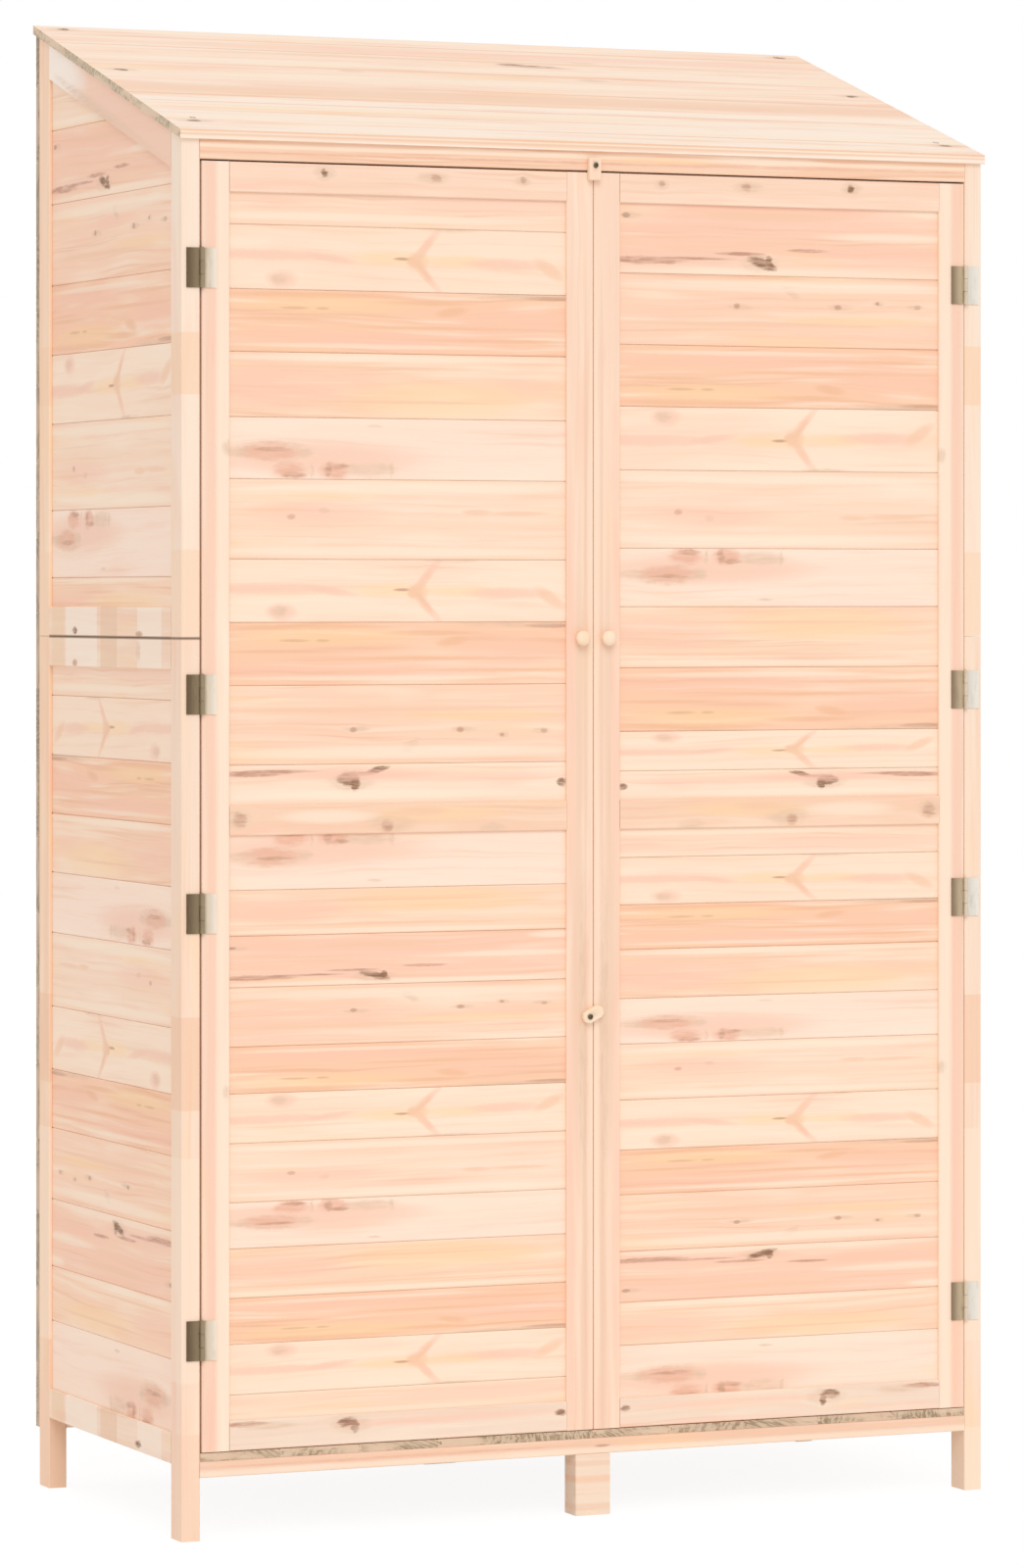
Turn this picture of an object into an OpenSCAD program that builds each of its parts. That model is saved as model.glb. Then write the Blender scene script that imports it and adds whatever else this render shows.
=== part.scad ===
/* [Overall size] */
// Width over the roof boards
roof_w = 1020; // [940:1:1200]
// Depth over the roof boards
roof_d = 510; // [430:1:680]
// Height of the roof's rear edge
height_back = 1750; // [1700:1:1900]
// Height of the roof's front edge
height_front = 1590; // [1520:1:1640]
// How far the roof stands out past the side panels
roof_side_lip = 3; // [0:0.5:30]
// How far the roof stands out past the doors
roof_front_lip = 4.2; // [1:0.1:30]
// How far the roof stands out past the back boards
roof_back_lip = 3; // [0:0.5:30]

/* [Posts and feet] */
// Width of a corner post, across the front
post_w = 22; // [18:0.5:40]
// Depth of a corner post, along the side
post_d = 35; // [28:0.5:60]
// Clear height under the floor frame
foot_h = 71; // [40:0.5:120]
// Width of the two middle feet
centre_foot_w = 43.6; // [30:0.1:90]
// Depth of the two middle feet
centre_foot_d = 31; // [20:0.5:35]
// Small chamfer along the planed edges
arris = 1; // [0.3:0.1:2]

/* [Side panels] */
// Height of the joint between the lower and the upper panel
split_z = 1017; // [800:1:1200]
// Open joint between the two panels
split_gap = 0.4; // [0.2:0.1:0.8]
// Height of the level rails in the side panels
side_rail_h = 35; // [25:0.5:60]
// Height of the sloping rail, square to the slope
slope_rail_h = 40; // [25:0.5:60]
// Underside of the lowest side rail above the ground
side_bottom_z = 84; // [76:0.5:140]

/* [Doors] */
// Mean gap between the doors and the posts
hinge_gap = 1.5; // [1.4:0.1:4]
// Gap between the two doors
meeting_gap = 0.75; // [0.65:0.05:4]
// How far both doors hang to the right of the middle
door_shift = 0.9; // [-1:0.1:1]
// Gap above the doors
door_top_gap = 2; // [1.5:0.1:6]
// Gap between the doors and the floor
door_floor_gap = 1; // [0.8:0.1:6]
// Thickness of the door frames
door_t = 22; // [18:0.5:34]
// Width of the door stiles
stile_w = 33.5; // [28:0.5:60]
// Height of the door rails
door_rail_h = 34; // [28:0.5:60]
// Height of the middle of the doors' middle rail
mid_rail_z = 811; // [500:0.5:1100]
// Height of the strip under the roof, above the doors
header_h = 23.3; // [20:0.1:60]
// Height of the stop that the doors close against
stop_h = 17; // [10:0.5:40]
// Clearance between the closed doors and the stop
stop_gap = 0.5; // [0.3:0.1:2]

/* [Wall boards] */
// Thickness of the wall boards
board_t = 9; // [7:0.5:12]
// Cover width of a board where no width is listed
board_cover = 72; // [50:1:120]
// How far the boards lie behind the face of their frame
board_recess = 4; // [1:0.5:6]
// Depth of the groove that holds the boards in the frames
frame_groove = 6; // [4:0.5:10]
// Thickness of the tongues
tongue_t = 3; // [2:0.1:4]
// Length of the tongues
tongue_l = 4; // [2:0.1:6]
// Chamfer on the visible edges of the boards
board_vee = 0.8; // [0.2:0.1:2]
// Open joint between two boards
board_gap = 0.3; // [0.1:0.05:1]
// Play of boards and tenons in their grooves
fit_gap = 0.2; // [0.1:0.05:0.4]

/* [Floor and back] */
// Height of the rails that carry the floor
floor_rail_h = 18.5; // [14:0.5:40]
// Thickness of the floor boards
floor_t = 9; // [8:0.5:20]
// Cover width of a floor board
floor_cover = 97; // [60:1:140]
// Thickness of the back boards
back_t = 12; // [9:0.5:20]
// Cover width of a back board
back_cover = 90; // [60:1:140]
// How far the back boards reach below the floor rails
back_drop = 2; // [0:0.5:20]
// Thickness of the battens
batten_t = 22; // [16:0.5:34]
// Height of the rail under the roof at the back
back_rail_h = 35; // [25:0.5:60]

/* [Roof] */
// Thickness of the roof boards
roof_t = 10; // [9:0.5:20]
// Fitting gap between the roof boards and the timber under them
roof_gap = 0.1; // [0.05:0.05:0.5]
// Width of the rear roof board
roof_board_back = 126; // [90:1:170]
// Width of the middle roof board
roof_board_mid = 234; // [120:1:260]
// Distance of the middle screws from the rear edge
screw_mid = 234; // [150:1:300]
// Distance of the front screws from the front edge
screw_front = 60; // [55:1:120]
// Radius of a roof screw's shank
roof_screw_r = 1.75; // [1.2:0.05:2.5]
// Radius of a roof screw's head
roof_screw_head_r = 3.8; // [3:0.1:6]
// Length of a roof screw
roof_screw_l = 22; // [18:1:22]

/* [Hinges] */
// Width of one hinge leaf
leaf_w = 18; // [14:0.5:20]
// Height of a hinge
leaf_h = 45; // [30:1:80]
// Thickness of a hinge leaf
leaf_t = 1.5; // [1:0.1:2.2]
// Radius of the hinge barrel
barrel_r = 2.75; // [2.4:0.05:3.5]
// Radius of the hinge pin
pin_r = 1.2; // [0.8:0.05:1.6]
// Radial play of the hinge pin
pin_play = 0.08; // [0.03:0.01:0.1]
// Gap between the knuckles
knuckle_gap = 0.4; // [0.2:0.05:0.8]
// Middle of the top hinges from the top of the door
top_hinge = 120.7; // [60:0.1:200]
// Middle of the bottom hinges from the bottom of the door
low_hinge = 126.3; // [60:0.1:200]
// Distance between the two middle hinges
hinge_mid = 247; // [120:1:500]
// How far the point midway between them is above the door's middle
hinge_mid_rise = 2.8; // [-40:0.1:40]

/* [Knobs and turn buttons] */
// Diameter of a knob
knob_d = 17.5; // [14:0.5:28]
// How far a knob stands out
knob_l = 14.5; // [12:0.5:30]
// Height of the knobs
knob_z = 1016; // [700:1:1300]
// Middle of a knob from the door's free edge
knob_inset = 16.2; // [12:0.1:20]
// Radius of the knob's dowel
dowel_r = 3; // [2:0.1:3.8]
// Length of the knob's dowel
dowel_l = 12; // [6:0.5:15]
// Width of the turn buttons
button_w = 15; // [11:0.5:16]
// Thickness of the turn buttons
button_t = 8; // [5:0.5:14]
// Length of the upper turn button
top_button_l = 26.5; // [24:0.5:32]
// Its screw above the underside of the header
top_button_rise = 6; // [5:0.5:9]
// Its screw from its short end
top_button_end = 9; // [7.5:0.5:11]
// Length of the lower turn button
low_button_l = 27; // [22:0.5:50]
// Its screw from its round end
low_button_end = 8; // [7:0.5:10]
// Height of the lower turn button's screw
low_button_z = 578; // [300:1:780]
// Distance of its screw from the left door's free edge
low_button_inset = 7.4; // [5:0.1:12]
// How far the lower turn button points up from level, in degrees
low_button_tilt = 27; // [0:1:90]
// Radius of the button screws
screw_r = 1.75; // [1.2:0.05:2]
// Radius of the button screws' heads
screw_head_r = 3; // [2.6:0.1:4]
// Play between a turn button and its screw
button_play = 0.1; // [0.05:0.01:0.3]
// Gap between a turn button and the wood behind it
button_gap = 0.3; // [0.2:0.05:0.6]

/* [Hidden] */
$fn = 48;

// cover widths from the top down, as the joints lie on the front and on the sides
left_upper_covers = [36, 73, 71, 74, 70, 91, 71.5, 71.5, 90];
left_lower_covers = [62, 52, 58, 67, 53, 56, 67, 52, 56, 52, 57, 30];
right_upper_covers = [81, 83, 72, 74, 91, 68, 71, 74, 46];
right_lower_covers = [33, 55, 52, 57, 53, 65, 58, 52, 66, 59, 50];
side_upper_covers = [62, 88, 97, 83, 82, 103, 80];
side_lower_covers = [35, 71, 70, 70, 72, 88, 75, 70, 85, 80, 65];

// a strip narrower than this is left on the board above it
least_strip = 14;

body_w = roof_w - 2 * roof_side_lip;
xo = -body_w / 2;
xi = xo + post_w;
front_y = -roof_d / 2 + roof_front_lip;
back_face_y = roof_d / 2 - roof_back_lip;
frame_back_y = back_face_y - back_t;
side_y0 = front_y + post_d;
side_y1 = frame_back_y - post_d;

slope = atan((height_back - height_front) / roof_d);
roof_l = roof_d / cos(slope);
roof_v = roof_t / cos(slope);
// top of the timber under the roof at a depth y
function under(y) = height_back - roof_v - roof_gap - (roof_d / 2 - y) * tan(slope);

floor_rail_top = foot_h + floor_rail_h;
floor_top = floor_rail_top + floor_t;
header_z = under(front_y) - header_h;
door_z0 = floor_top + door_floor_gap;
door_z1 = header_z - door_top_gap;
door_x0 = xi + hinge_gap;
door_x1 = -meeting_gap / 2;
door_back_y = front_y + door_t;
pivot_x = -xi - hinge_gap / 2;
pivot_y = front_y - barrel_r;

mid_z0 = mid_rail_z - door_rail_h / 2;
mid_z1 = mid_rail_z + door_rail_h / 2;
slot_t = board_t + 2 * fit_gap;
seat = frame_groove - fit_gap;
slope_rail_v = slope_rail_h / cos(slope);

upper_z0 = split_z + split_gap / 2;
lower_z1 = split_z - split_gap / 2;
hinge_mid_z = (door_z0 + door_z1) / 2 + hinge_mid_rise;
hinge_heights = [door_z0 + low_hinge, hinge_mid_z - hinge_mid / 2,
                 hinge_mid_z + hinge_mid / 2, door_z1 - top_hinge];
top_pivot_z = header_z + top_button_rise;
low_pivot_x = door_x1 - low_button_inset;
knob_x = -door_x1 + knob_inset;
head_h = 1.6;
screw_grip = 13;
batten_x = -xi - batten_t / 2;
// the rear screws stand in the middle of the back boards' top edge
screw_back = (roof_d / 2 - back_face_y + back_t / 2
              + (roof_t + roof_screw_l) / 2 * sin(slope)) / cos(slope);
screw_rows = [screw_back, screw_mid, roof_l - screw_front];

cream = [0.95, 0.84, 0.70];
peach = [0.93, 0.77, 0.62];
orange_pine = [0.90, 0.68, 0.52];
grey_pine = [0.72, 0.66, 0.54];
bronze = [0.43, 0.38, 0.28];
dark_steel = [0.22, 0.20, 0.17];

// outline of a planed timber with a small chamfer on each edge
function planed(x0, y0, x1, y1, c = arris) =
    [[x0 + c, y0], [x1 - c, y0], [x1, y0 + c], [x1, y1 - c],
     [x1 - c, y1], [x0 + c, y1], [x0, y1 - c], [x0, y0 + c]];

// section of a tongued and grooved board: first its depth behind its face, then its height
function board_section(z0, z1, t, has_tongue, has_groove) =
    let (a = (t - tongue_t) / 2, b = (t + tongue_t) / 2, d = tongue_l + 2 * fit_gap)
    concat(has_groove ? [[board_vee, z0], [0, z0 + board_vee]] : [[0, z0]],
           has_tongue ? [[0, z1 - board_vee], [board_vee, z1], [a, z1], [a, z1 + tongue_l],
                         [b, z1 + tongue_l], [b, z1]]
                      : [[0, z1]],
           [[t, z1], [t, z0]],
           has_groove ? [[b + fit_gap, z0], [b + fit_gap, z0 + d],
                         [a - fit_gap, z0 + d], [a - fit_gap, z0]]
                      : []);

// joint heights of a wall of boards, counted down from its top
function cover(list, i, rest) = i < len(list) ? list[i] : rest;
function joint_at(list, top, i, rest) =
    i == 0 ? top : joint_at(list, top, i - 1, rest) - cover(list, i - 1, rest);

// sections of all the boards between two heights, each turned by the caller
function wall_sections(list, top, bottom, t, rest, grow) =
    [for (i = [0 : 59])
        let (z1 = joint_at(list, top, i, rest), z0 = joint_at(list, top, i + 1, rest),
             first = i == 0, last = z0 < bottom + least_strip)
        if (z1 >= bottom + least_strip)
            board_section(last ? bottom - grow : z0, first ? z1 + grow : z1 - board_gap,
                          t, !first, !last)];

// a plate of thickness t whose outline lies in the plane across the shed, from x0 on
module yz_plate(x0, t, points)
    translate([x0, 0, 0]) rotate([90, 0, 90]) linear_extrude(t) polygon(points);

// a run along y from y0 to y1 of a section drawn in x and z
module y_run(y0, y1, points)
    rotate([90, 0, 0]) translate([0, 0, -y1]) linear_extrude(y1 - y0) polygon(points);

// a run along x from x0 to x1 of a section drawn in y and z
module x_run(x0, x1, points) yz_plate(x0, x1 - x0, points);

// a band under the roof, from da to db below its underside
function slope_band(y0, y1, da, db) =
    [[y0, under(y0) - db], [y1, under(y1) - db], [y1, under(y1) - da], [y0, under(y0) - da]];

module below_roof()
    yz_plate(-roof_w, 2 * roof_w,
             [[-roof_d, -1], [roof_d, -1], [roof_d, under(roof_d)], [-roof_d, under(-roof_d)]]);

// corner timber on the left: its groove faces the boards and stops above the leg
module corner_timber(y0, z0, z1, groove_z, groove_y)
    difference() {
        intersection() {
            translate([0, 0, z0]) linear_extrude(z1 - z0)
                polygon(planed(xo, y0, xi, y0 + post_d));
            below_roof();
        }
        translate([xo + board_recess - fit_gap, groove_y, groove_z])
            cube([slot_t, frame_groove, height_back]);
    }

module left_leg(y0, groove_y)
    color(peach) corner_timber(y0, 0, lower_z1, side_bottom_z, groove_y);

module left_post(y0, groove_y)
    color(cream) corner_timber(y0, upper_z0, height_back, upper_z0 - 1, groove_y);

// level rail of a left side panel, with stub tenons and a groove above, below or both
module side_rail(z0, up, down)
    color(peach) difference() {
        union() {
            y_run(side_y0, side_y1, planed(xo, z0, xi, z0 + side_rail_h));
            translate([xo + board_recess, side_y0 - seat,
                       z0 + (down ? frame_groove + fit_gap : arris)])
                cube([board_t, side_y1 - side_y0 + 2 * seat,
                      side_rail_h - (down ? frame_groove + fit_gap : arris)
                                  - (up ? frame_groove + fit_gap : arris)]);
        }
        if (up)
            translate([xo + board_recess - fit_gap, side_y0 - 1,
                       z0 + side_rail_h - frame_groove])
                cube([slot_t, side_y1 - side_y0 + 2, frame_groove + 1]);
        if (down)
            translate([xo + board_recess - fit_gap, side_y0 - 1, z0 - 1])
                cube([slot_t, side_y1 - side_y0 + 2, frame_groove + 1]);
    }

// sloping rail under the roof boards
module slope_rail()
    color(grey_pine) difference() {
        union() {
            yz_plate(xo, post_w, slope_band(side_y0, side_y1, 0, slope_rail_v));
            yz_plate(xo + board_recess, board_t,
                     slope_band(side_y0 - seat, side_y1 + seat, 0,
                                slope_rail_v - (frame_groove + fit_gap) / cos(slope)));
        }
        yz_plate(xo + board_recess - fit_gap, slot_t,
                 slope_band(side_y0 - 1, side_y1 + 1,
                            slope_rail_v - frame_groove / cos(slope), slope_rail_v + 1));
    }

module side_boards(list, top, bottom)
    for (points = wall_sections(list, top, bottom, board_t, board_cover, seat))
        y_run(side_y0 - seat, side_y1 + seat,
              [for (p = points) [xo + board_recess + p[0], p[1]]]);

module left_lower_wall()
    color(peach) side_boards(side_lower_covers, lower_z1 - side_rail_h,
                             side_bottom_z + side_rail_h);

module left_upper_wall()
    color(cream) intersection() {
        side_boards(side_upper_covers, under(side_y1) - slope_rail_v,
                    upper_z0 + side_rail_h);
        yz_plate(xo, post_w,
                 [[side_y0 - seat, upper_z0], [side_y1 + seat, upper_z0],
                  [side_y1 + seat, under(side_y1 + seat) - slope_rail_v + seat / cos(slope)],
                  [side_y0 - seat, under(side_y0 - seat) - slope_rail_v + seat / cos(slope)]]);
    }

// the doors and their hinges hang a little to the right
module hung() translate([door_shift, 0, 0]) children();

module right() mirror([1, 0, 0]) children();

module header()
    color(orange_pine) difference() {
        intersection() {
            x_run(xi, -xi, [[front_y + arris, header_z], [side_y0, header_z],
                            [side_y0, height_back], [front_y, height_back],
                            [front_y, header_z + arris]]);
            below_roof();
        }
        translate([0, front_y, top_pivot_z]) rotate([-90, 0, 0])
            cylinder(r = screw_r + fit_gap / 2, h = 2 * (screw_grip + 1), center = true);
    }

module door_stop()
    color(cream) x_run(xi, -xi, planed(door_back_y + stop_gap, header_z - stop_h,
                                       side_y0, header_z, arris / 2));

module front_floor_rail()
    color(peach) x_run(xi, -xi, planed(front_y, foot_h, front_y + post_d, floor_rail_top));

module rear_floor_rail()
    color(peach) x_run(xi, -xi, planed(side_y1, foot_h, frame_back_y, floor_rail_top));

module rear_top_rail()
    color(cream) x_run(xi, -xi, slope_band(side_y1, frame_back_y, 0, back_rail_h));

// block foot under the middle of a floor rail, its grain lying level
module centre_foot(y0)
    color(orange_pine) y_run(y0, y0 + centre_foot_d,
                             planed(-centre_foot_w / 2, 0, centre_foot_w / 2, foot_h));

// boards from front to back, laid between the side panels
module floor_boards()
    color(grey_pine)
    for (points = wall_sections([], -xi - stop_gap, xi + stop_gap, floor_t, floor_cover, 0))
        y_run(front_y, frame_back_y - fit_gap,
              [for (p = points) [p[1], floor_top - p[0]]]);

// level boards nailed on the rear posts
module back_boards()
    color(peach) difference() {
        intersection() {
            for (points = wall_sections([], under(frame_back_y) + back_cover / 3,
                                        foot_h - back_drop, back_t, back_cover, 0))
                x_run(xo, -xo, [for (p = points) [back_face_y - p[0], p[1]]]);
            below_roof();
        }
        roof_screw_bores(fit_gap / 2);
    }

module back_batten()
    color(cream) translate([0, 0, floor_top])
        linear_extrude(under(frame_back_y - batten_t) - back_rail_h - floor_top)
            polygon(planed(-centre_foot_w / 2, frame_back_y - batten_t,
                           centre_foot_w / 2, frame_back_y));

// places its children in the plane of the roof: y runs up the slope, z is square to it
module on_slope()
    translate([0, roof_d / 2, height_back]) rotate([slope, 0, 0]) children();

module roof_screw_bores(play)
    on_slope()
        for (side = [-1, 1], s = screw_rows)
            translate([side * batten_x, -s, -roof_screw_l - 1])
                cylinder(r = roof_screw_r + play, h = roof_screw_l + 2);

module roof_boards()
    color(cream) difference() {
        intersection() {
            on_slope()
                for (points = wall_sections([roof_board_back + roof_t, roof_board_mid],
                                            roof_t, -roof_l - roof_t, roof_t, roof_l, 0))
                    x_run(-roof_w / 2, roof_w / 2, [for (p = points) [p[1], -p[0]]]);
            translate([-roof_w, -roof_d / 2, 0]) cube([2 * roof_w, roof_d, 2 * height_back]);
        }
        roof_screw_bores(fit_gap / 2);
        on_slope()
            for (side = [-1, 1], s = screw_rows)
                translate([side * batten_x, -s, -roof_screw_head_r])
                    cylinder(r1 = fit_gap / 2, r2 = roof_screw_head_r + fit_gap / 2 + 1,
                             h = roof_screw_head_r + 1);
    }

module roof_battens()
    color(peach) difference() {
        for (side = [-1, 1])
            x_run(side * batten_x - batten_t / 2, side * batten_x + batten_t / 2,
                  slope_band(side_y0, side_y1, 0, batten_t / cos(slope)));
        roof_screw_bores(fit_gap / 2);
    }

// countersunk screws, flush with the roof boards
module roof_screws()
    color(dark_steel) on_slope()
        for (side = [-1, 1], s = screw_rows)
            translate([side * batten_x, -s, 0])
                rotate_extrude()
                    polygon([[0, -roof_screw_l], [roof_screw_r, 3 - roof_screw_l],
                             [roof_screw_r, -roof_screw_head_r + roof_screw_r],
                             [roof_screw_head_r, 0], [0, 0]]);

// fixed half of the left hinges: end knuckles on a leaf screwed to the post's face
module post_leaves()
    color(bronze)
    for (z = hinge_heights)
        translate([-pivot_x, pivot_y, z]) difference() {
            union() {
                translate([-leaf_w, barrel_r - leaf_t, -leaf_h / 2])
                    cube([leaf_w, leaf_t, leaf_h]);
                cylinder(r = barrel_r, h = leaf_h, center = true);
            }
            translate([-barrel_r - knuckle_gap, -barrel_r - 1, -leaf_h / 6 - knuckle_gap / 2])
                cube([2 * barrel_r + 2, 2 * barrel_r + 2, leaf_h / 3 + knuckle_gap]);
            cylinder(r = pin_r + pin_play, h = leaf_h + 2, center = true);
        }

// moving half of the left hinges: the middle knuckle on a leaf on the door's stile
module door_leaves()
    color(bronze)
    for (z = hinge_heights)
        translate([-pivot_x, pivot_y, z]) difference() {
            union() {
                translate([0, barrel_r - leaf_t, -leaf_h / 2]) cube([leaf_w, leaf_t, leaf_h]);
                cylinder(r = barrel_r, h = leaf_h / 3 - knuckle_gap, center = true);
            }
            for (side = [-1, 1])
                translate([-1, -barrel_r - 1,
                           side > 0 ? leaf_h / 6 - knuckle_gap / 2 : -leaf_h])
                    cube([barrel_r + knuckle_gap + 1, 2 * barrel_r + 2,
                          leaf_h * 5 / 6 + knuckle_gap / 2]);
            cylinder(r = pin_r + pin_play, h = leaf_h + 2, center = true);
        }

module hinge_pins()
    color(bronze)
    for (z = hinge_heights)
        translate([-pivot_x, pivot_y, z - leaf_h / 2])
            rotate_extrude()
                polygon([[0, 0], [pin_r, 0], [pin_r, leaf_h], [barrel_r * 0.8, leaf_h],
                         [barrel_r * 0.6, leaf_h + 0.8], [0, leaf_h + 0.8]]);

// stile of the left door: x0 is its left edge, and its groove is cut at groove_x
module door_stile(x0, groove_x)
    difference() {
        translate([0, 0, door_z0]) linear_extrude(door_z1 - door_z0)
            polygon(planed(x0, front_y, x0 + stile_w, door_back_y));
        translate([groove_x, front_y + board_recess - fit_gap, door_z0 - 1])
            cube([frame_groove, slot_t, door_z1 - door_z0 + 2]);
    }

module hinge_stile()
    color(cream) door_stile(door_x0, door_x0 + stile_w - frame_groove);

module meeting_stile()
    color(peach) difference() {
        door_stile(door_x1 - stile_w, door_x1 - stile_w);
        translate([-knob_x, front_y, knob_z]) rotate([90, 0, 0])
            cylinder(r = dowel_r + fit_gap / 2, h = 2 * (dowel_l + 0.5), center = true);
    }

// rail of the left door, with stub tenons that fill the stiles' grooves
module door_rail(z0, up, down)
    color(peach) difference() {
        union() {
            x_run(door_x0 + stile_w, door_x1 - stile_w,
                  planed(front_y, z0, door_back_y, z0 + door_rail_h));
            translate([door_x0 + stile_w - seat, front_y + board_recess,
                       z0 + (down ? frame_groove + fit_gap : arris)])
                cube([door_x1 - door_x0 - 2 * stile_w + 2 * seat, board_t,
                      door_rail_h - (down ? frame_groove + fit_gap : arris)
                                  - (up ? frame_groove + fit_gap : arris)]);
        }
        if (up)
            translate([door_x0, front_y + board_recess - fit_gap,
                       z0 + door_rail_h - frame_groove])
                cube([door_x1 - door_x0, slot_t, frame_groove + 1]);
        if (down)
            translate([door_x0, front_y + board_recess - fit_gap, z0 - 1])
                cube([door_x1 - door_x0, slot_t, frame_groove + 1]);
    }

module door_boards(list, top, bottom)
    for (points = wall_sections(list, top, bottom, board_t, board_cover, seat))
        x_run(door_x0 + stile_w - seat, door_x1 - stile_w + seat,
              [for (p = points) [front_y + board_recess + p[0], p[1]]]);

module upper_door_boards(list)
    color(cream) door_boards(list, door_z1 - door_rail_h, mid_z1);

module lower_door_boards(list)
    color(orange_pine) door_boards(list, mid_z0, door_z0 + door_rail_h);

// turned knob with its dowel, standing on the left door's meeting stile
module knob()
    color(cream) translate([-knob_x, front_y, knob_z]) rotate([90, 0, 0])
        rotate_extrude()
            polygon(concat([[0, -dowel_l], [dowel_r, -dowel_l], [dowel_r, 0],
                            [knob_d * 0.32, 0], [knob_d * 0.32, 1.2], [knob_d * 0.24, 2.6]],
                           [for (a = [-58 : 12 : 86])
                               [knob_d / 2 * cos(a),
                                knob_l * 0.57 + knob_l * 0.43 * sin(a)]],
                           [[0, knob_l]]));

// pan head screw along -y, its head above a button of thickness button_t
module button_screw(grip)
    color(dark_steel) rotate([90, 0, 0]) rotate_extrude()
        polygon([[0, -grip], [screw_r, 2 - grip], [screw_r, button_gap * 2 + button_t],
                 [screw_head_r, button_gap * 2 + button_t],
                 [screw_head_r, button_gap * 2 + button_t + head_h / 2],
                 [screw_head_r * 0.6, button_gap * 2 + button_t + head_h],
                 [0, button_gap * 2 + button_t + head_h]]);

module top_turn_button()
    color(cream) translate([0, front_y - button_gap, top_pivot_z]) difference() {
        translate([0, 0, 0]) rotate([90, 0, 0]) linear_extrude(button_t)
            polygon(planed(-button_w / 2, top_button_end - top_button_l,
                           button_w / 2, top_button_end, 2 * arris));
        rotate([90, 0, 0])
            cylinder(r = screw_r + button_play, h = 3 * button_t, center = true);
    }

module low_turn_button()
    color(cream) translate([low_pivot_x, front_y - button_gap, low_button_z])
    rotate([0, -low_button_tilt, 0]) rotate([90, 0, 0]) difference() {
        union() {
            translate([button_w / 2 - low_button_end, 0, 0])
                cylinder(r = button_w / 2, h = button_t);
            translate([low_button_l - low_button_end - button_w / 2, 0, 0])
                cylinder(r = button_w / 2, h = button_t);
            translate([button_w / 2 - low_button_end, -button_w / 2, 0])
                cube([low_button_l - button_w, button_w, button_t]);
        }
        cylinder(r = screw_r + button_play, h = 3 * button_t, center = true);
    }

left_leg(front_y, side_y0 - frame_groove);  // left_front_leg
left_post(front_y, side_y0 - frame_groove);  // left_front_post
left_leg(side_y1, side_y1);  // left_rear_leg
left_post(side_y1, side_y1);  // left_rear_post
right() left_leg(front_y, side_y0 - frame_groove);  // right_front_leg
right() left_post(front_y, side_y0 - frame_groove);  // right_front_post
right() left_leg(side_y1, side_y1);  // right_rear_leg
right() left_post(side_y1, side_y1);  // right_rear_post
side_rail(side_bottom_z, true, false);  // left_bottom_rail
side_rail(lower_z1 - side_rail_h, false, true);  // left_lower_rail
side_rail(upper_z0, true, false);  // left_upper_rail
slope_rail();  // left_slope_rail
right() side_rail(side_bottom_z, true, false);  // right_bottom_rail
right() side_rail(lower_z1 - side_rail_h, false, true);  // right_lower_rail
right() side_rail(upper_z0, true, false);  // right_upper_rail
right() slope_rail();  // right_slope_rail
left_lower_wall();  // left_lower_boards
left_upper_wall();  // left_upper_boards
right() left_lower_wall();  // right_lower_boards
right() left_upper_wall();  // right_upper_boards
header();
door_stop();
front_floor_rail();
rear_floor_rail();
rear_top_rail();
centre_foot(front_y);  // front_centre_foot
centre_foot(frame_back_y - centre_foot_d);  // rear_centre_foot
floor_boards();
back_boards();
back_batten();
roof_boards();
roof_battens();
roof_screws();
hung() post_leaves();  // left_post_leaves
hung() right() post_leaves();  // right_post_leaves
hung() hinge_pins();  // left_hinge_pins
hung() right() hinge_pins();  // right_hinge_pins
translate([0, front_y, top_pivot_z]) button_screw(screw_grip);  // top_button_screw
hung() hinge_stile();  // left_door_hinge_stile
hung() difference() {  // left_door_meeting_stile
        meeting_stile();
        translate([low_pivot_x, front_y, low_button_z]) rotate([90, 0, 0])
            cylinder(r = screw_r + fit_gap / 2, h = 2 * (screw_grip + 1), center = true);
    }
hung() door_rail(door_z1 - door_rail_h, false, true);  // left_door_top_rail
hung() door_rail(mid_z0, true, true);  // left_door_mid_rail
hung() door_rail(door_z0, true, false);  // left_door_bottom_rail
hung() upper_door_boards(left_upper_covers);  // left_door_upper_boards
hung() lower_door_boards(left_lower_covers);  // left_door_lower_boards
hung() knob();  // left_door_knob
hung() door_leaves();  // left_door_leaves
hung() translate([low_pivot_x, front_y, low_button_z]) button_screw(screw_grip);  // low_button_screw
hung() right() hinge_stile();  // right_door_hinge_stile
hung() right() meeting_stile();  // right_door_meeting_stile
hung() right() door_rail(door_z1 - door_rail_h, false, true);  // right_door_top_rail
hung() right() door_rail(mid_z0, true, true);  // right_door_mid_rail
hung() right() door_rail(door_z0, true, false);  // right_door_bottom_rail
hung() right() upper_door_boards(right_upper_covers);  // right_door_upper_boards
hung() right() lower_door_boards(right_lower_covers);  // right_door_lower_boards
hung() right() knob();  // right_door_knob
hung() right() door_leaves();  // right_door_leaves
top_turn_button();
hung() low_turn_button();
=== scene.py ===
"""A narrow garden shed in planed, untreated fir, photographed on white.

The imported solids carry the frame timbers, the hinges and everything hidden. The boards of the
doors, walls, roof and floor, the knobs, the turn buttons and the screws are made here.
"""
import math

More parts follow.
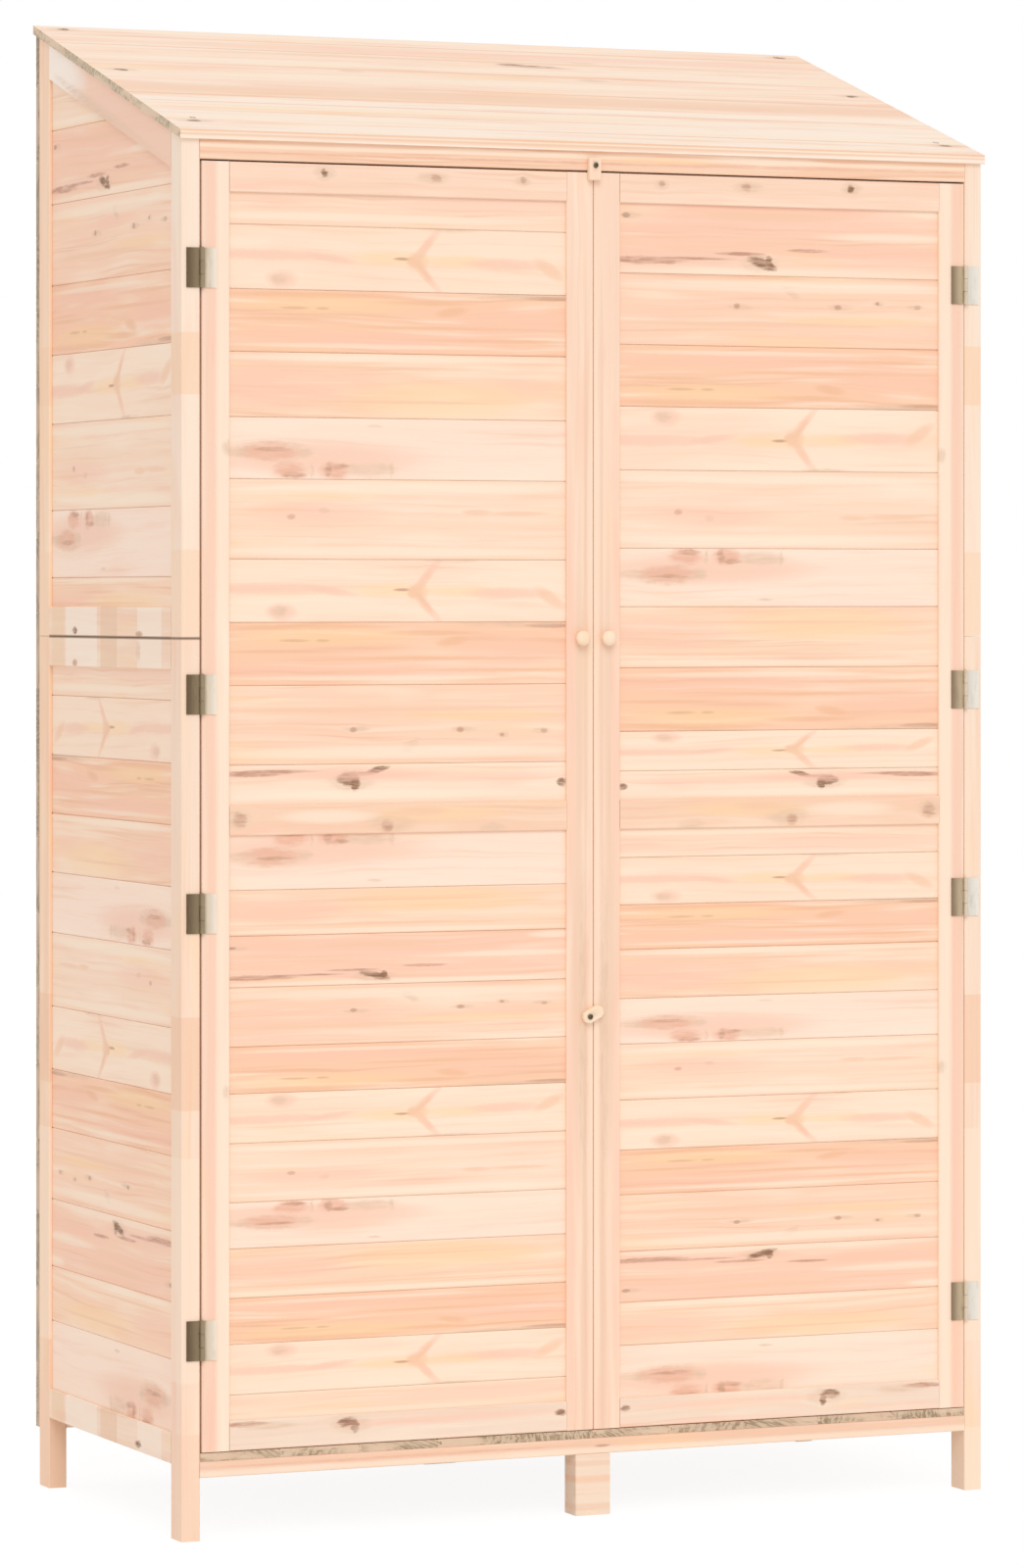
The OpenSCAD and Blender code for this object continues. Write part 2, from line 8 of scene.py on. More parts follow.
import bmesh
import bpy
import numpy as np
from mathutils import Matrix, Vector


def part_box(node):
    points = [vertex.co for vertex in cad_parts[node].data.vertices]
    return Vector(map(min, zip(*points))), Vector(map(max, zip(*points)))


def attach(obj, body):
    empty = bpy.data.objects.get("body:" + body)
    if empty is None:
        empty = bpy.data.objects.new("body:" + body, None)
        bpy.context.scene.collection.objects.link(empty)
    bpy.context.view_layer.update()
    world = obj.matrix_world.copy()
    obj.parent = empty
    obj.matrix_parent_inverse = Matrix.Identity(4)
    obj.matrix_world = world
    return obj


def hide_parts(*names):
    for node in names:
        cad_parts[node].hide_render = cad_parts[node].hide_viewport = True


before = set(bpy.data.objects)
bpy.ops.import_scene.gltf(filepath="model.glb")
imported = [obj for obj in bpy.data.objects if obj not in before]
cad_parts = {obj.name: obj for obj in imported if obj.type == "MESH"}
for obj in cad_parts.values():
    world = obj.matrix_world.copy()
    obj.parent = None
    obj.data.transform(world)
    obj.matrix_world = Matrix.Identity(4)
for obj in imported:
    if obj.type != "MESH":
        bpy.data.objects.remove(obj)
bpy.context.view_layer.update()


# The studio. The camera stands low and far to the left of the shed's front, level with its
# doors, and the frame is pushed down so that upright edges stay upright. A broad white sky and
# one soft lamp from the front light pale wood on a white floor.
focal_pixels, picture_pixels, sensor = 6217.4, 1600, 36.0
turned_right = 0.41601
camera_data = bpy.data.cameras.new("studio_camera")
camera_data.sensor_width = sensor
camera_data.lens = focal_pixels / picture_pixels * sensor
camera_data.shift_x = -0.03208
camera_data.shift_y = -0.11856
camera_data.clip_end = 60.0
camera = bpy.data.objects.new("studio_camera", camera_data)
camera.location = (-2.8856, -6.6932, 1.0624)
camera.rotation_euler = (math.pi / 2, 0.0, -turned_right)
bpy.context.scene.collection.objects.link(camera)
bpy.context.scene.camera = camera
bpy.context.scene.view_settings.view_transform = "Standard"

sky = bpy.data.worlds.new("studio_sky")
bpy.context.scene.world = sky
sky.use_nodes = True
sky_nodes = sky.node_tree.nodes
sky_light = sky_nodes["Background"]
sky_light.inputs["Color"].default_value = (1.0, 0.995, 0.995, 1.0)
sky_light.inputs["Strength"].default_value = 0.73
white_sky = sky_nodes.new("ShaderNodeBackground")
white_sky.inputs["Color"].default_value = (1.0, 1.0, 1.0, 1.0)


def seen_white(tree, lit, white, output, share):
    """Mixes plain white into what the camera, gloss and glass see. Other rays see the lit one."""
    seen_by = tree.nodes.new("ShaderNodeLightPath")
    mix = tree.nodes.new("ShaderNodeMixShader")
    either = [tree.nodes.new("ShaderNodeMath") for _ in range(3)]
    for node, kind in zip(either, ("MAXIMUM", "MAXIMUM", "MULTIPLY")):
        node.operation = kind
    either[2].inputs[1].default_value = share
    for source, target in (
            (seen_by.outputs["Is Camera Ray"], either[0].inputs[0]),
            (seen_by.outputs["Is Glossy Ray"], either[0].inputs[1]),
            (seen_by.outputs["Is Transmission Ray"], either[1].inputs[0]),
            (either[0].outputs[0], either[1].inputs[1]),
            (either[1].outputs[0], either[2].inputs[0]),
            (either[2].outputs[0], mix.inputs["Fac"]),
            (lit, mix.inputs[1]), (white, mix.inputs[2]), (mix.outputs[0], output)):
        tree.links.new(source, target)


seen_white(sky.node_tree, sky_light.outputs[0], white_sky.outputs[0],
           sky_nodes["World Output"].inputs["Surface"], 1.0)

lamp_data = bpy.data.lights.new("front_lamp", "SUN")
lamp_data.energy = 0.92
lamp_data.angle = math.radians(35)
lamp = bpy.data.objects.new("front_lamp", lamp_data)
lamp.rotation_euler = (math.radians(52), 0.0, math.radians(-18))
bpy.context.scene.collection.objects.link(lamp)

reach = 14
floor_mesh = bpy.data.meshes.new("studio_floor")
floor_mesh.from_pydata([(-reach, -reach, 0), (reach, -reach, 0), (reach, reach, 0),
                        (-reach, reach, 0)], [], [(0, 1, 2, 3)])
studio_floor = bpy.data.objects.new("studio_floor", floor_mesh)
bpy.context.scene.collection.objects.link(studio_floor)
floor_paint = bpy.data.materials.new("white_floor")
floor_paint.use_nodes = True
floor_nodes = floor_paint.node_tree.nodes
floor_shader = floor_nodes["Principled BSDF"]
floor_shader.inputs["Base Color"].default_value = (1, 1, 1, 1)
floor_shader.inputs["Roughness"].default_value = 1.0
floor_shader.inputs["Specular IOR Level"].default_value = 0.0
floor_white = floor_nodes.new("ShaderNodeEmission")
floor_white.inputs["Strength"].default_value = 1.05
seen_white(floor_paint.node_tree, floor_shader.outputs[0], floor_white.outputs[0],
           floor_nodes["Material Output"].inputs["Surface"], 0.86)
floor_mesh.materials.append(floor_paint)


# The posts. Four corner posts of planed fir stand on the ground, each in two lengths that meet
# at the joint between the lower and the upper wall panels. They are glued up from short
# lengths, so their tone changes in steps.
MM = 1000


class Grain:
    """A shader value over a surface. Each operator adds one Math node."""

    def __init__(self, tree, socket=None):
        self.tree, self.socket = tree, socket

    def node(self, kind, values=None, output=0, **settings):
        """Any other node: its settings are set first, then its sockets are filled or linked."""
        made = self.tree.nodes.new("ShaderNode" + kind)
        for key, value in settings.items():
            setattr(made, key, value)
        for key, value in (values or {}).items():
            if isinstance(value, Grain):
                self.tree.links.new(value.socket, made.inputs[key])
            else:
                made.inputs[key].default_value = value
        return Grain(self.tree, made.outputs[output])

    def math(self, operation, *terms):
        return self.node("Math", dict(enumerate(terms)), operation=operation)

    def __add__(self, other):
        return self.math("ADD", self, other)

    def __radd__(self, other):
        return self.math("ADD", other, self)

    def __sub__(self, other):
        return self.math("SUBTRACT", self, other)

    def __rsub__(self, other):
        return self.math("SUBTRACT", other, self)

    def __mul__(self, other):
        return self.math("MULTIPLY", self, other)

    def __truediv__(self, other):
        return self.math("DIVIDE", self, other)

    def __abs__(self):
        return self.math("ABSOLUTE", self)

    def ease(self, start, end):
        """0 before start, 1 after end, and a smooth rise between them."""
        return self.node("MapRange", {"Value": self, "From Min": start, "From Max": end},
                         interpolation_type="SMOOTHSTEP")

    def noise(self, point, detail=2.0, roughness=0.5, output=0):
        return self.node("TexNoise", {"Vector": point, "Scale": 1.0, "Detail": detail,
                                      "Roughness": roughness}, output)

    def point(self, x, y, z):
        return self.node("CombineXYZ", {0: x, 1: y, 2: z})

    def stretched(self, *by):
        return self.node("VectorMath", {0: self, 1: by}, operation="MULTIPLY")

    def split(self, axis):
        """One part of a vector or of a colour. The node that parts it is made once."""
        if not hasattr(self, "parts"):
            self.parts = self.node("SeparateXYZ", {0: self}).socket.node.outputs
        return Grain(self.tree, self.parts["xyz".index(axis)])

    def over(self, under, colour):
        """The colour laid over another one, as thick as this value says."""
        return self.node("Mix", {0: self, 6: under, 7: colour}, 2, data_type="RGBA")

    def feeds(self, shader, name):
        self.tree.links.new(self.socket, shader.inputs[name])


def tone(red, green, blue):
    """A colour as seen on screen, 0 to 255, as the linear value that a shader takes."""
    steps = np.array([red, green, blue]) / 255
    linear = np.where(steps <= 0.04045, steps / 12.92, ((steps + 0.055) / 1.055) ** 2.4)
    return (*(float(value) for value in linear), 1.0)


MARK_TONES = {
    # pin also draws the painted shadow line along the lower edge of the roof's front face
    "pin": tone(204, 158, 132),
    "rust": tone(238, 186, 160),
    "knot": tone(206, 162, 136),
    "grey": tone(226, 194, 166),
    "black": tone(150, 110, 86),
    "streak": tone(202, 154, 130),
    "flame": tone(246, 202, 170),
    "blush": tone(249, 205, 181),
    "yellow": tone(255, 214, 164),
    "pink": tone(251, 200, 176),
    "tan": tone(238, 202, 175),
    "amber": tone(242, 190, 152),
    "sap": tone(251, 223, 198),
    "cream": tone(255, 235, 212),
    "seam": tone(158, 130, 104),
    "white": tone(255, 246, 236),
}
# how dark a mark's heart is, how soft and how ragged its rim is, and how far it pushes the grain
MARK_WAYS = {
    "pin": (0.85, 0.95, 0.5, 1.0), "rust": (0.85, 0.8, 1.0, 0.8), "knot": (0.9, 1.0, 1.0, 1.0),
    "grey": (0.6, 1.0, 1.0, 0.5), "black": (1.0, 0.75, 1.0, 1.0), "streak": (0.9, 0.7, 0.8, 0.2),
    "flame": (0.7, 0.95, 0.25, 0.4), "blush": (0.8, 1.0, 0.6, 0.0), "yellow": (0.5, 1.0, 0.3, 0.0),
    "pink": (0.45, 1.0, 0.3, 0.0), "tan": (0.6, 1.0, 0.2, 0.0), "cream": (0.6, 0.9, 0.25, 0.0),
    "amber": (0.75, 1.0, 0.6, 0.2), "sap": (0.8, 0.9, 0.25, 0.0), "seam": (0.85, 0.8, 0.0, 0.0),
    "white": (0.75, 1.0, 0.3, 0.0),
}


def new_material(name):
    """A material, its shader and a start for the values that feed it."""
    material = bpy.data.materials.new(name)
    material.use_nodes = True
    tree = material.node_tree
    return material, tree.nodes["Principled BSDF"], Grain(tree)


def fir(name, along="z", across="x", pale=tone(254, 229, 206), warm=tone(251, 211, 181),
        late=tone(236, 184, 150), marks=(), warmth=0.5, lines=0.5, tints=1.0, centre=0.0,
        cut=None, ends=0.45, seed=0.0, on_planks=False, steps=()):
    """Planed fir. The tone drifts between pale and warm in long bands, with pink, yellow and
    cream washes. The late wood draws long broken lines along the grain. Each mark (kind, u, v,
    length and height in mm) is an ellipse with a ragged rim that stains the wood and pushes
    those lines aside. A sixth value makes it lean: its rise for each step along the grain."""
    material, shader, start = new_material(name)
    if on_planks:
        place = start.node("Attribute", output="Vector", attribute_name="plank")
        order = "xyz"
    else:
        place = start.node("TexCoord", output="Object")
        order = along + across + next(axis for axis in "xyz" if axis not in along + across)
    u, v, w = (place.split(axis) for axis in order)
    v, w = v - centre, w + seed

    wander, ragged_along, ragged_across = 0.024, 0.012, 0.006
    slow = start.noise(start.point(u * 2.6, v * 7.0, w * 7.0), 3.0, 0.5, 1)
    bend = (slow.split("x") - 0.5) * wander
    stains = []
    if marks:
        crumple = start.noise(start.point(u * 70.0, v * 170.0, w * 40.0), 3.0, 0.65, 1)
        feather = start.noise(start.point(u * 40.0, v * 330.0, w * 50.0), 2.0, 0.6).ease(0.3, 0.7)
        crumple_u = (crumple.split("x") - 0.5) * ragged_along
        crumple_v = (crumple.split("y") - 0.5) * ragged_across
    for kind, mark_u, mark_v, length, height, *lean in marks:
        strength, softness, ragged, push = MARK_WAYS[kind]
        ragged = ragged * min(1.0, height / 9)  # a mark thinner than 9 mm keeps a calmer rim
        off_u = u + crumple_u * ragged - mark_u / MM
        off_v = v + crumple_v * ragged - mark_v / MM
        if lean:
            off_v = off_v - off_u * lean[0]
        du, dv = off_u * (2 * MM / length), off_v * (2 * MM / height)
        spread = du * du + dv * dv
        if push:
            bend = bend + dv * (push * height / (2 * MM)) / (1.0 + spread * spread * 0.35)
        if kind in ("black", "knot", "rust", "streak", "grey"):
            strength = feather * (strength * 0.75) + strength * 0.45
        stains.append((kind, spread.ease(1.0 + softness, 1.0 - softness * 0.95) * strength))

    across_grain = v - bend
    bands = start.noise(start.point(u * 0.9, across_grain * 38.0, w * 40.0), 3.0, 0.6)
    wash = start.noise(start.point(u * 4.2, across_grain * 30.0, w * 20.0 + 7.0), 2.0, 0.55, 1)
    flow = start.noise(start.point(u * 4.0, across_grain * 100.0, w * 50.0 + 11.0), 3.0, 0.5, 1)
    rows = start.noise(start.point(u * 3.4, across_grain * 210.0, w * 60.0 + 3.0), 2.0, 0.55)
    fibre = start.noise(start.point(u * 14.0, v * 700.0, w * 620.0), 1.0, 0.6)
    late_wood = rows.ease(0.53, 0.72)

    wood = (bands + slow.split("y") * 0.3 + (warmth - 1.15)).ease(-0.36, 0.36).over(pale, warm)
    wood = (wash.split("x").ease(0.52, 0.76) * (0.45 * tints)).over(wood, tone(252, 198, 172))
    wood = (wash.split("y").ease(0.54, 0.78) * (0.45 * tints)).over(wood, tone(255, 214, 164))
    wood = (wash.split("z").ease(0.54, 0.76) * (0.5 * tints)).over(wood, tone(255, 235, 211))
    wood = (flow.split("x").ease(0.54, 0.72) * (0.6 * lines)).over(wood, tone(247, 199, 166))
    wood = (flow.split("y").ease(0.54, 0.72) * (0.6 * lines)).over(wood, tone(255, 236, 214))
    wood = (late_wood * (wash.split("z").ease(0.75, 0.35) * (0.75 * lines))).over(wood, late)
    wood = (rows.ease(0.44, 0.28) * (0.35 * lines)).over(wood, tone(255, 237, 216))
    wood = (fibre.ease(0.60, 0.85) * 0.16).over(wood, tone(228, 184, 152))
    for low, high, part in steps:
        # each short length that the timber is glued up from takes its own tone
        soft = 0.001
        inside = u.ease(low - soft, low + soft) * u.ease(high + soft, high - soft)
        wood = (inside * 0.6).over(wood, part)
    for kind, stain in stains:
        wood = stain.over(wood, MARK_TONES[kind])
    if not on_planks and ends:
        end_face = abs(start.node("TexCoord", output="Normal").split(along)).ease(0.7, 0.8)
        rays = start.noise(start.point(v * 900.0, w * 900.0, u), 2.0).ease(0.35, 0.65)
        wood = (end_face * (ends + rays * 0.3)).over(wood, tone(200, 164, 134))
    if cut:
        # sawn ends are grey-brown, with darker leaning streaks in clusters
        slanted = v * 300.0 + w * 230.0
        upright = start.noise(start.point(u * 90.0, slanted, w * 110.0), 3.0, 0.65)
        cluster = start.noise(start.point(u * 20.0, v * 17.0, w * 60.0 + 5.0), 3.0, 0.6)
        wood = (0.66 + cluster.ease(0.62, 0.40) * 0.34).over(wood, cut[0])
        wood = (upright.ease(0.43, 0.60) * cluster.ease(0.60, 0.43) * 0.9).over(wood, cut[1])
    wood.feeds(shader, "Base Color")
    (0.56 + late_wood * 0.08 - fibre * 0.08).feeds(shader, "Roughness")
    shader.inputs["Specular IOR Level"].default_value = 0.25
    relief = start.node("Bump", {"Strength": 0.3, "Distance": 0.0004,
                                 "Height": fibre * 0.6 - late_wood * 0.3}, "Normal")
    relief.feeds(shader, "Normal")
    return material


def finish_node(node, material):
    """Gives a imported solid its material."""
    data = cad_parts[node].data
    data.materials.clear()
    data.materials.append(material)


POST_PALE, POST_WARM = tone(251, 230, 210), tone(248, 216, 191)
REAR_PALE, REAR_WARM = tone(251, 219, 190), tone(248, 208, 176)
LEG_PARTS = [(0.485, 0.590, tone(244, 198, 165)), (0.178, 0.431, tone(254, 228, 204))]
POST_PARTS = [(1.292, 1.362, tone(249, 208, 172)), (1.017, 1.117, tone(250, 213, 181))]
LEG_ENDS = {"left": (-0.01, 0.12, tone(248, 210, 182)),
            "right": (-0.01, 0.075, tone(254, 229, 205))}
# the dark line at the left front joint
POST_JOINT = {"left_front": [("seam", 1017, 0, 3.6, 4000)]}
for side in ("left", "right"):
    for row, (place, pale, warm) in enumerate((("front", POST_PALE, POST_WARM),
                                               ("rear", REAR_PALE, REAR_WARM))):
        for length, parts, warmth, shift in (
                ("leg", LEG_PARTS + [LEG_ENDS[side]], 0.62, 4.4), ("post", POST_PARTS, 0.36, 0.0)):
            node = f"{side}_{place}_{length}"
            finish_node(node, fir(f"{node}_fir", pale=pale, warm=warm, warmth=warmth, lines=0.3,
                                  seed=1.3 + row + 2.1 * (side == "right") + shift,
                                  marks=POST_JOINT.get(f"{side}_{place}", ()), steps=parts))


# The side panels' rails. Each panel is closed by level rails above and below, and the upper one
# by a rail that slopes with the roof. They are planed fir, glued up from short blocks.
RAIL_MARKS = {
    "left_upper_rail": [("black", 112, -10, 14, 9), ("pin", -110, -14, 22, 7)],
    "left_lower_rail": [("pin", 112, -13, 16, 8), ("grey", -108, 2, 14, 22)],
    "left_bottom_rail": [("black", -108, -9, 20, 8), ("flame", 165, -10, 40, 10)],
    "left_slope_rail": [("blush", -80, -28, 420, 120, 0.35), ("white", 180, 63, 180, 90, 0.35),
                        ("grey", 60, 3, 210, 13, 0.35), ("tan", -40, -26, 260, 12, 0.35)],
}
RAIL_BLOCKS = {
    "left": [(-0.035, 0.022, tone(236, 198, 166)), (0.034, 0.145, tone(254, 238, 222)),
             (-0.185, -0.104, tone(254, 236, 219)), (0.152, 0.195, tone(243, 208, 172))],
    "right": [(-0.150, -0.060, tone(252, 232, 212)), (0.010, 0.120, tone(246, 212, 180))]}
for index, rail in enumerate(("bottom_rail", "lower_rail", "upper_rail", "slope_rail")):
    for side in ("left", "right"):
        node = f"{side}_{rail}"
        low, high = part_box(node)
        marks = RAIL_MARKS.get(node, [])
        if rail in ("lower_rail", "upper_rail"):
            # the dark line between the panels is shared by the two rails that meet there
            joint = (high.z - low.z) * MM / 2 * (1 if rail == "lower_rail" else -1)
            marks = marks + [("seam", 0, joint, 4000, 3.4)]
        finish_node(node, fir(f"{node}_fir", "y", "z", pale=tone(252, 226, 204),
                              warm=tone(246, 208, 180), seed=11.1 + index + 5 * (side == "right"),
                              centre=(low.z + high.z) / 2, marks=marks,
                              steps=() if rail == "slope_rail" else RAIL_BLOCKS[side]))


# The boards. Walls, doors, roof, floor and back are tongued and grooved boards, laid edge to
# edge with a small V at each joint. They come from a few planks that turn up again and again,
# some of them end for end or upside down.
PLANKS = {
    "plain": dict(nominal=36, warmth=0.46, marks=[
        ("pink", 120, 6, 260, 14), ("cream", -60, -9, 400, 8)]),
    "fork": dict(nominal=56, warmth=0.3, lines=0.4, tints=0.6, pale=tone(255, 229, 205), marks=[
        ("blush", -170, 2, 190, 9), ("blush", -88, 0, 56, 6, -0.1), ("yellow", -14, 1, 90, 12),
        ("blush", -148, -19, 34, 14), ("grey", -151, -19, 18, 9), ("pin", 0, 1, 20, 2.6),
        ("amber", 15, -1, 16, 9), ("flame", 19, -1, 24, 15), ("flame", 26, 9, 24, 12, 0.8),
        ("pink", 36, 19, 26, 10, 0.8), ("amber", 26, -9, 18, 5, -0.8),
        ("flame", 26, -10, 24, 12, -0.8), ("pink", 37, -19, 24, 9, -0.8),
        ("yellow", 75, 0, 90, 10), ("blush", 130, -2, 90, 10), ("flame", 184, -6, 34, 12, -0.4),
        ("grey", 60, 27, 60, 3)]),
    "orange": dict(nominal=52, warmth=0.9, warm=tone(252, 204, 172), pale=tone(254, 219, 192),
                   lines=1.0, tints=0.8, marks=[
        ("pin", 190, 23, 60, 3.4), ("grey", 150, 25, 130, 6), ("amber", -110, 22, 190, 5),
        ("amber", 30, 17, 110, 4), ("amber", 66, 10, 36, 7, 0.1), ("amber", -150, 2, 120, 3),
        ("amber", 90, -4, 260, 3), ("cream", -40, -20, 300, 4), ("amber", 120, -14, 200, 3),
        ("pin", -128, 11, 34, 2.4), ("pin", -94, 11, 16, 2.4),
        ("yellow", -90, 14, 200, 14), ("pink", 150, 2, 160, 22), ("pink", -60, -14, 360, 12)]),
    "yellow": dict(nominal=57, warmth=0.66, warm=tone(253, 213, 183), pale=tone(255, 225, 199),
                   lines=0.8, marks=[
        ("yellow", 50, -12, 210, 28), ("flame", -60, 16, 300, 3), ("flame", 0, -14, 260, 3),
        ("pink", -160, -4, 160, 30), ("cream", -20, 24, 420, 6)]),
    "red_knots": dict(nominal=53, warmth=0.22, lines=0.35, tints=0.6, pale=tone(255, 228, 208),
                      marks=[
        ("blush", -90, -8, 240, 26), ("grey", -178, -3, 60, 8), ("grey", -143, -2, 78, 16),
        ("rust", -146, -3, 64, 15), ("rust", -144, -4, 50, 9), ("knot", -142, -1, 42, 3.4),
        ("grey", -104, -4, 16, 8), ("rust", -122, -19, 40, 14), ("rust", -122, -20, 30, 10),
        ("knot", -118, -23, 26, 4), ("rust", -70, -19, 34, 14), ("rust", -68, -19, 26, 11),
        ("knot", -76, -19, 9, 11), ("knot", -62, -15, 22, 4), ("grey", -96, -19, 4, 12),
        ("grey", 2, -18, 5, 12), ("grey", -25, -18, 60, 11), ("grey", -19, 20, 17, 2.4)]),
    "pale": dict(nominal=91, warmth=0.4, lines=0.5, pale=tone(254, 225, 201), marks=[
        ("pin", -132, 3, 10, 6), ("grey", -92, 10, 12, 7), ("flame", 96, 9, 34, 6),
        ("pink", -100, 8, 170, 24), ("flame", 150, 8, 70, 5), ("cream", 0, 36, 430, 12),
        ("cream", 0, -36, 430, 10)]),
    "pins": dict(nominal=90, warmth=0.72, warm=tone(253, 211, 183), lines=0.7, marks=[
        ("grey", -52, -5, 30, 7), ("pin", -56, -6, 8, 6), ("grey", 80, -7, 30, 7),
        ("pin", 76, -7, 9, 6), ("grey", 129, -13, 14, 7), ("pin", 128, -13, 5, 4),
        ("pin", 181, -9, 8, 5), ("grey", 178, -9, 22, 6), ("grey", 14, -25, 20, 12, 0.5),
        ("cream", 0, -32, 430, 14), ("yellow", 100, 10, 180, 12), ("flame", -60, 17, 320, 6)]),
    "streaked": dict(nominal=45, warmth=0.36, lines=0.4, marks=[
        ("pink", -100, 14, 300, 12), ("streak", -178, 14, 96, 6, 0.02),
        ("streak", -150, 16, 90, 3), ("grey", -58, 6, 50, 20), ("black", -62, 8, 26, 13),
        ("black", -54, 3, 10, 14), ("black", -26, 17, 26, 6, 0.15), ("streak", -44, 13, 34, 4),
        ("black", 203, 2, 12, 8), ("pink", 60, 9, 260, 9), ("cream", 0, -8, 430, 9),
        ("pink", -60, 12, 160, 9)]),
    "broken": dict(nominal=81, warmth=0.62, warm=tone(251, 203, 175), lines=0.6,
                   pale=tone(254, 221, 196), marks=[
        ("pink", -20, 20, 400, 30), ("flame", -10, 24, 190, 9), ("cream", 198, 33, 60, 10),
        ("cream", 150, 4, 170, 9), ("cream", 0, -38, 430, 12), ("pink", 130, -14, 180, 13),
        ("blush", -120, -22, 200, 12), ("streak", -172, -26, 96, 8), ("streak", -110, -23, 90, 3),
        ("streak", -52, -17, 60, 4), ("grey", -26, -27, 46, 16), ("black", -24, -27, 34, 10, -0.3),
        ("black", -14, -25, 9, 11), ("streak", 36, -12, 50, 4), ("black", -199, 22, 10, 5),
        ("grey", -192, 22, 24, 7)]),
}
plank_widths = {kind: looks.pop("nominal") / MM for kind, looks in PLANKS.items()}
plank_firs = {kind: fir(f"fir_{kind}", on_planks=True, **looks) for kind, looks in PLANKS.items()}
end_firs = {"floor": fir("fir_floor_ends", on_planks=True, warmth=0.7,
                         cut=(tone(208, 185, 158), tone(150, 129, 102))),
            "weather": fir("fir_weathered_ends", on_planks=True, warmth=0.7,
                           cut=(tone(178, 156, 128), tone(138, 118, 92))),
            "roof": fir("fir_roof_ends", on_planks=True, warmth=0.7,
                        cut=(tone(216, 194, 166), tone(170, 148, 120)))}
plank_slots = list(PLANKS)


def board_section(low, high, thick, tongue, groove, lean=0.0):
    """Outline of one board as depth behind its face and height. Near a joint the face falls
    away by a power of the way to the edge, the tongue stands up on one edge, and the groove is
    sunk in the other. An outer edge may lean, which moves its back corner down."""
    worn, fallen, power = 0.0014, 0.0009, 1.7
    tip, width, slack, eased = 0.004, 0.003, 0.0002, 0.0006
    way = np.linspace(0.0, 1.0, 5)
    inner, outer = (thick - width) / 2, (thick + width) / 2
    if groove:
        points = [(fallen * (1 - s) ** power, low + worn * s) for s in way]
    else:
        points = [(0.0, low)]
    if tongue:
        points += [(fallen * s ** power, high - worn * (1 - s)) for s in way]
        points += [(inner, high), (inner, high + tip - eased), (inner + eased, high + tip),
                   (outer - eased, high + tip), (outer, high + tip - eased), (outer, high),
                   (thick, high)]
    else:
        points += [(0.0, high), (thick, high - lean * thick)]
    if groove:
        depth = tip + 2 * slack
        points += [(thick, low), (outer + slack, low), (outer + slack, low + depth),
                   (inner - slack, low + depth), (inner - slack, low)]
    else:
        points += [(thick, low - lean * thick)]
    return np.array(points)


def face_out(mesh):
    """Turns a closed mesh inside out if the sum of its corners' triple products, which is six
    times its volume, comes out below nothing."""
    mesh.update()
    corners = np.zeros(len(mesh.vertices) * 3)
    mesh.vertices.foreach_get("co", corners)
    mesh.calc_loop_triangles()
    triangles = np.zeros(len(mesh.loop_triangles) * 3, np.int32)
    mesh.loop_triangles.foreach_get("vertices", triangles)
    a, b, c = corners.reshape(-1, 3)[triangles.reshape(-1, 3)].transpose(1, 0, 2)
    if np.einsum("ij,ij->", a - a.mean(0), np.cross(b - a.mean(0), c - a.mean(0))) < 0:
        mesh.flip_normals()


def lay_boards(node, body, rows, run, kinds, put, thick, lean=0.0, ends="weather"):
    """Boards as prisms: each section is carried along the run, and put() turns run, depth and
    height into a place. Every corner keeps its place on the plank that its board is cut from,
    stretched over the board's width. The grain runs on round the board's edges, and where the
    planks come round again they are laid end for end and moved along. Each board is cut from
    another depth of the wood, so that no two are alike."""
    moved_along, next_depth = 0.07, 0.37
    places, planks, faces, slots, first = [], [], [], [], 0
    for index, (low, high) in enumerate(rows):
        kind, shift, way = kinds[index % len(kinds)]
        section = board_section(low, high, thick, index > 0, index < len(rows) - 1, lean)
        count = len(section)
        u = np.repeat(np.array(run), count)
        depth, height = np.tile(section, (2, 1)).T
        places.append(np.stack(put(u, depth, height), -1))
        stretch = way[1] * plank_widths.get(kind, high - low) / (high - low)
        again = index // len(kinds)
        planks.append(np.stack([
            (u - sum(run) / 2) * way[0] * (-1) ** again + shift / MM + moved_along * again,
            (height - depth - (low + high) / 2) * stretch, depth + next_depth * (index + 1)], -1))
        ring = first + np.arange(count)
        after = first + (np.arange(count) + 1) % count
        faces += np.stack([ring, after, after + count, ring + count], -1).tolist()
        faces += [ring[::-1].tolist(), (ring + count).tolist()]
        slots += [plank_slots.index(kind)] * count + [len(plank_slots)] * 2
        first += 2 * count
    mesh = bpy.data.meshes.new(f"{node}_laid")
    mesh.from_pydata(np.concatenate(places).tolist(), [], faces)
    for kind in plank_slots:
        mesh.materials.append(plank_firs[kind])
    mesh.materials.append(end_firs[ends])
    mesh.polygons.foreach_set("material_index", slots)
    plank = mesh.attributes.new("plank", "FLOAT_VECTOR", "POINT")
    plank.data.foreach_set("vector", np.concatenate(planks).astype(np.float32).ravel())
    face_out(mesh)
    boards = bpy.data.objects.new(f"{node}_laid", mesh)
    bpy.context.scene.collection.objects.link(boards)
    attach(boards, body)
    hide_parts(node)
    return boards


NEAR = 0.0001  # corners this near a face lie on it


def node_corners(node):
    """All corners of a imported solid, in metres."""
    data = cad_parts[node].data
    corners = np.zeros(len(data.vertices) * 3, np.float32)
    data.vertices.foreach_get("co", corners)
    return corners.reshape(-1, 3).astype(float)


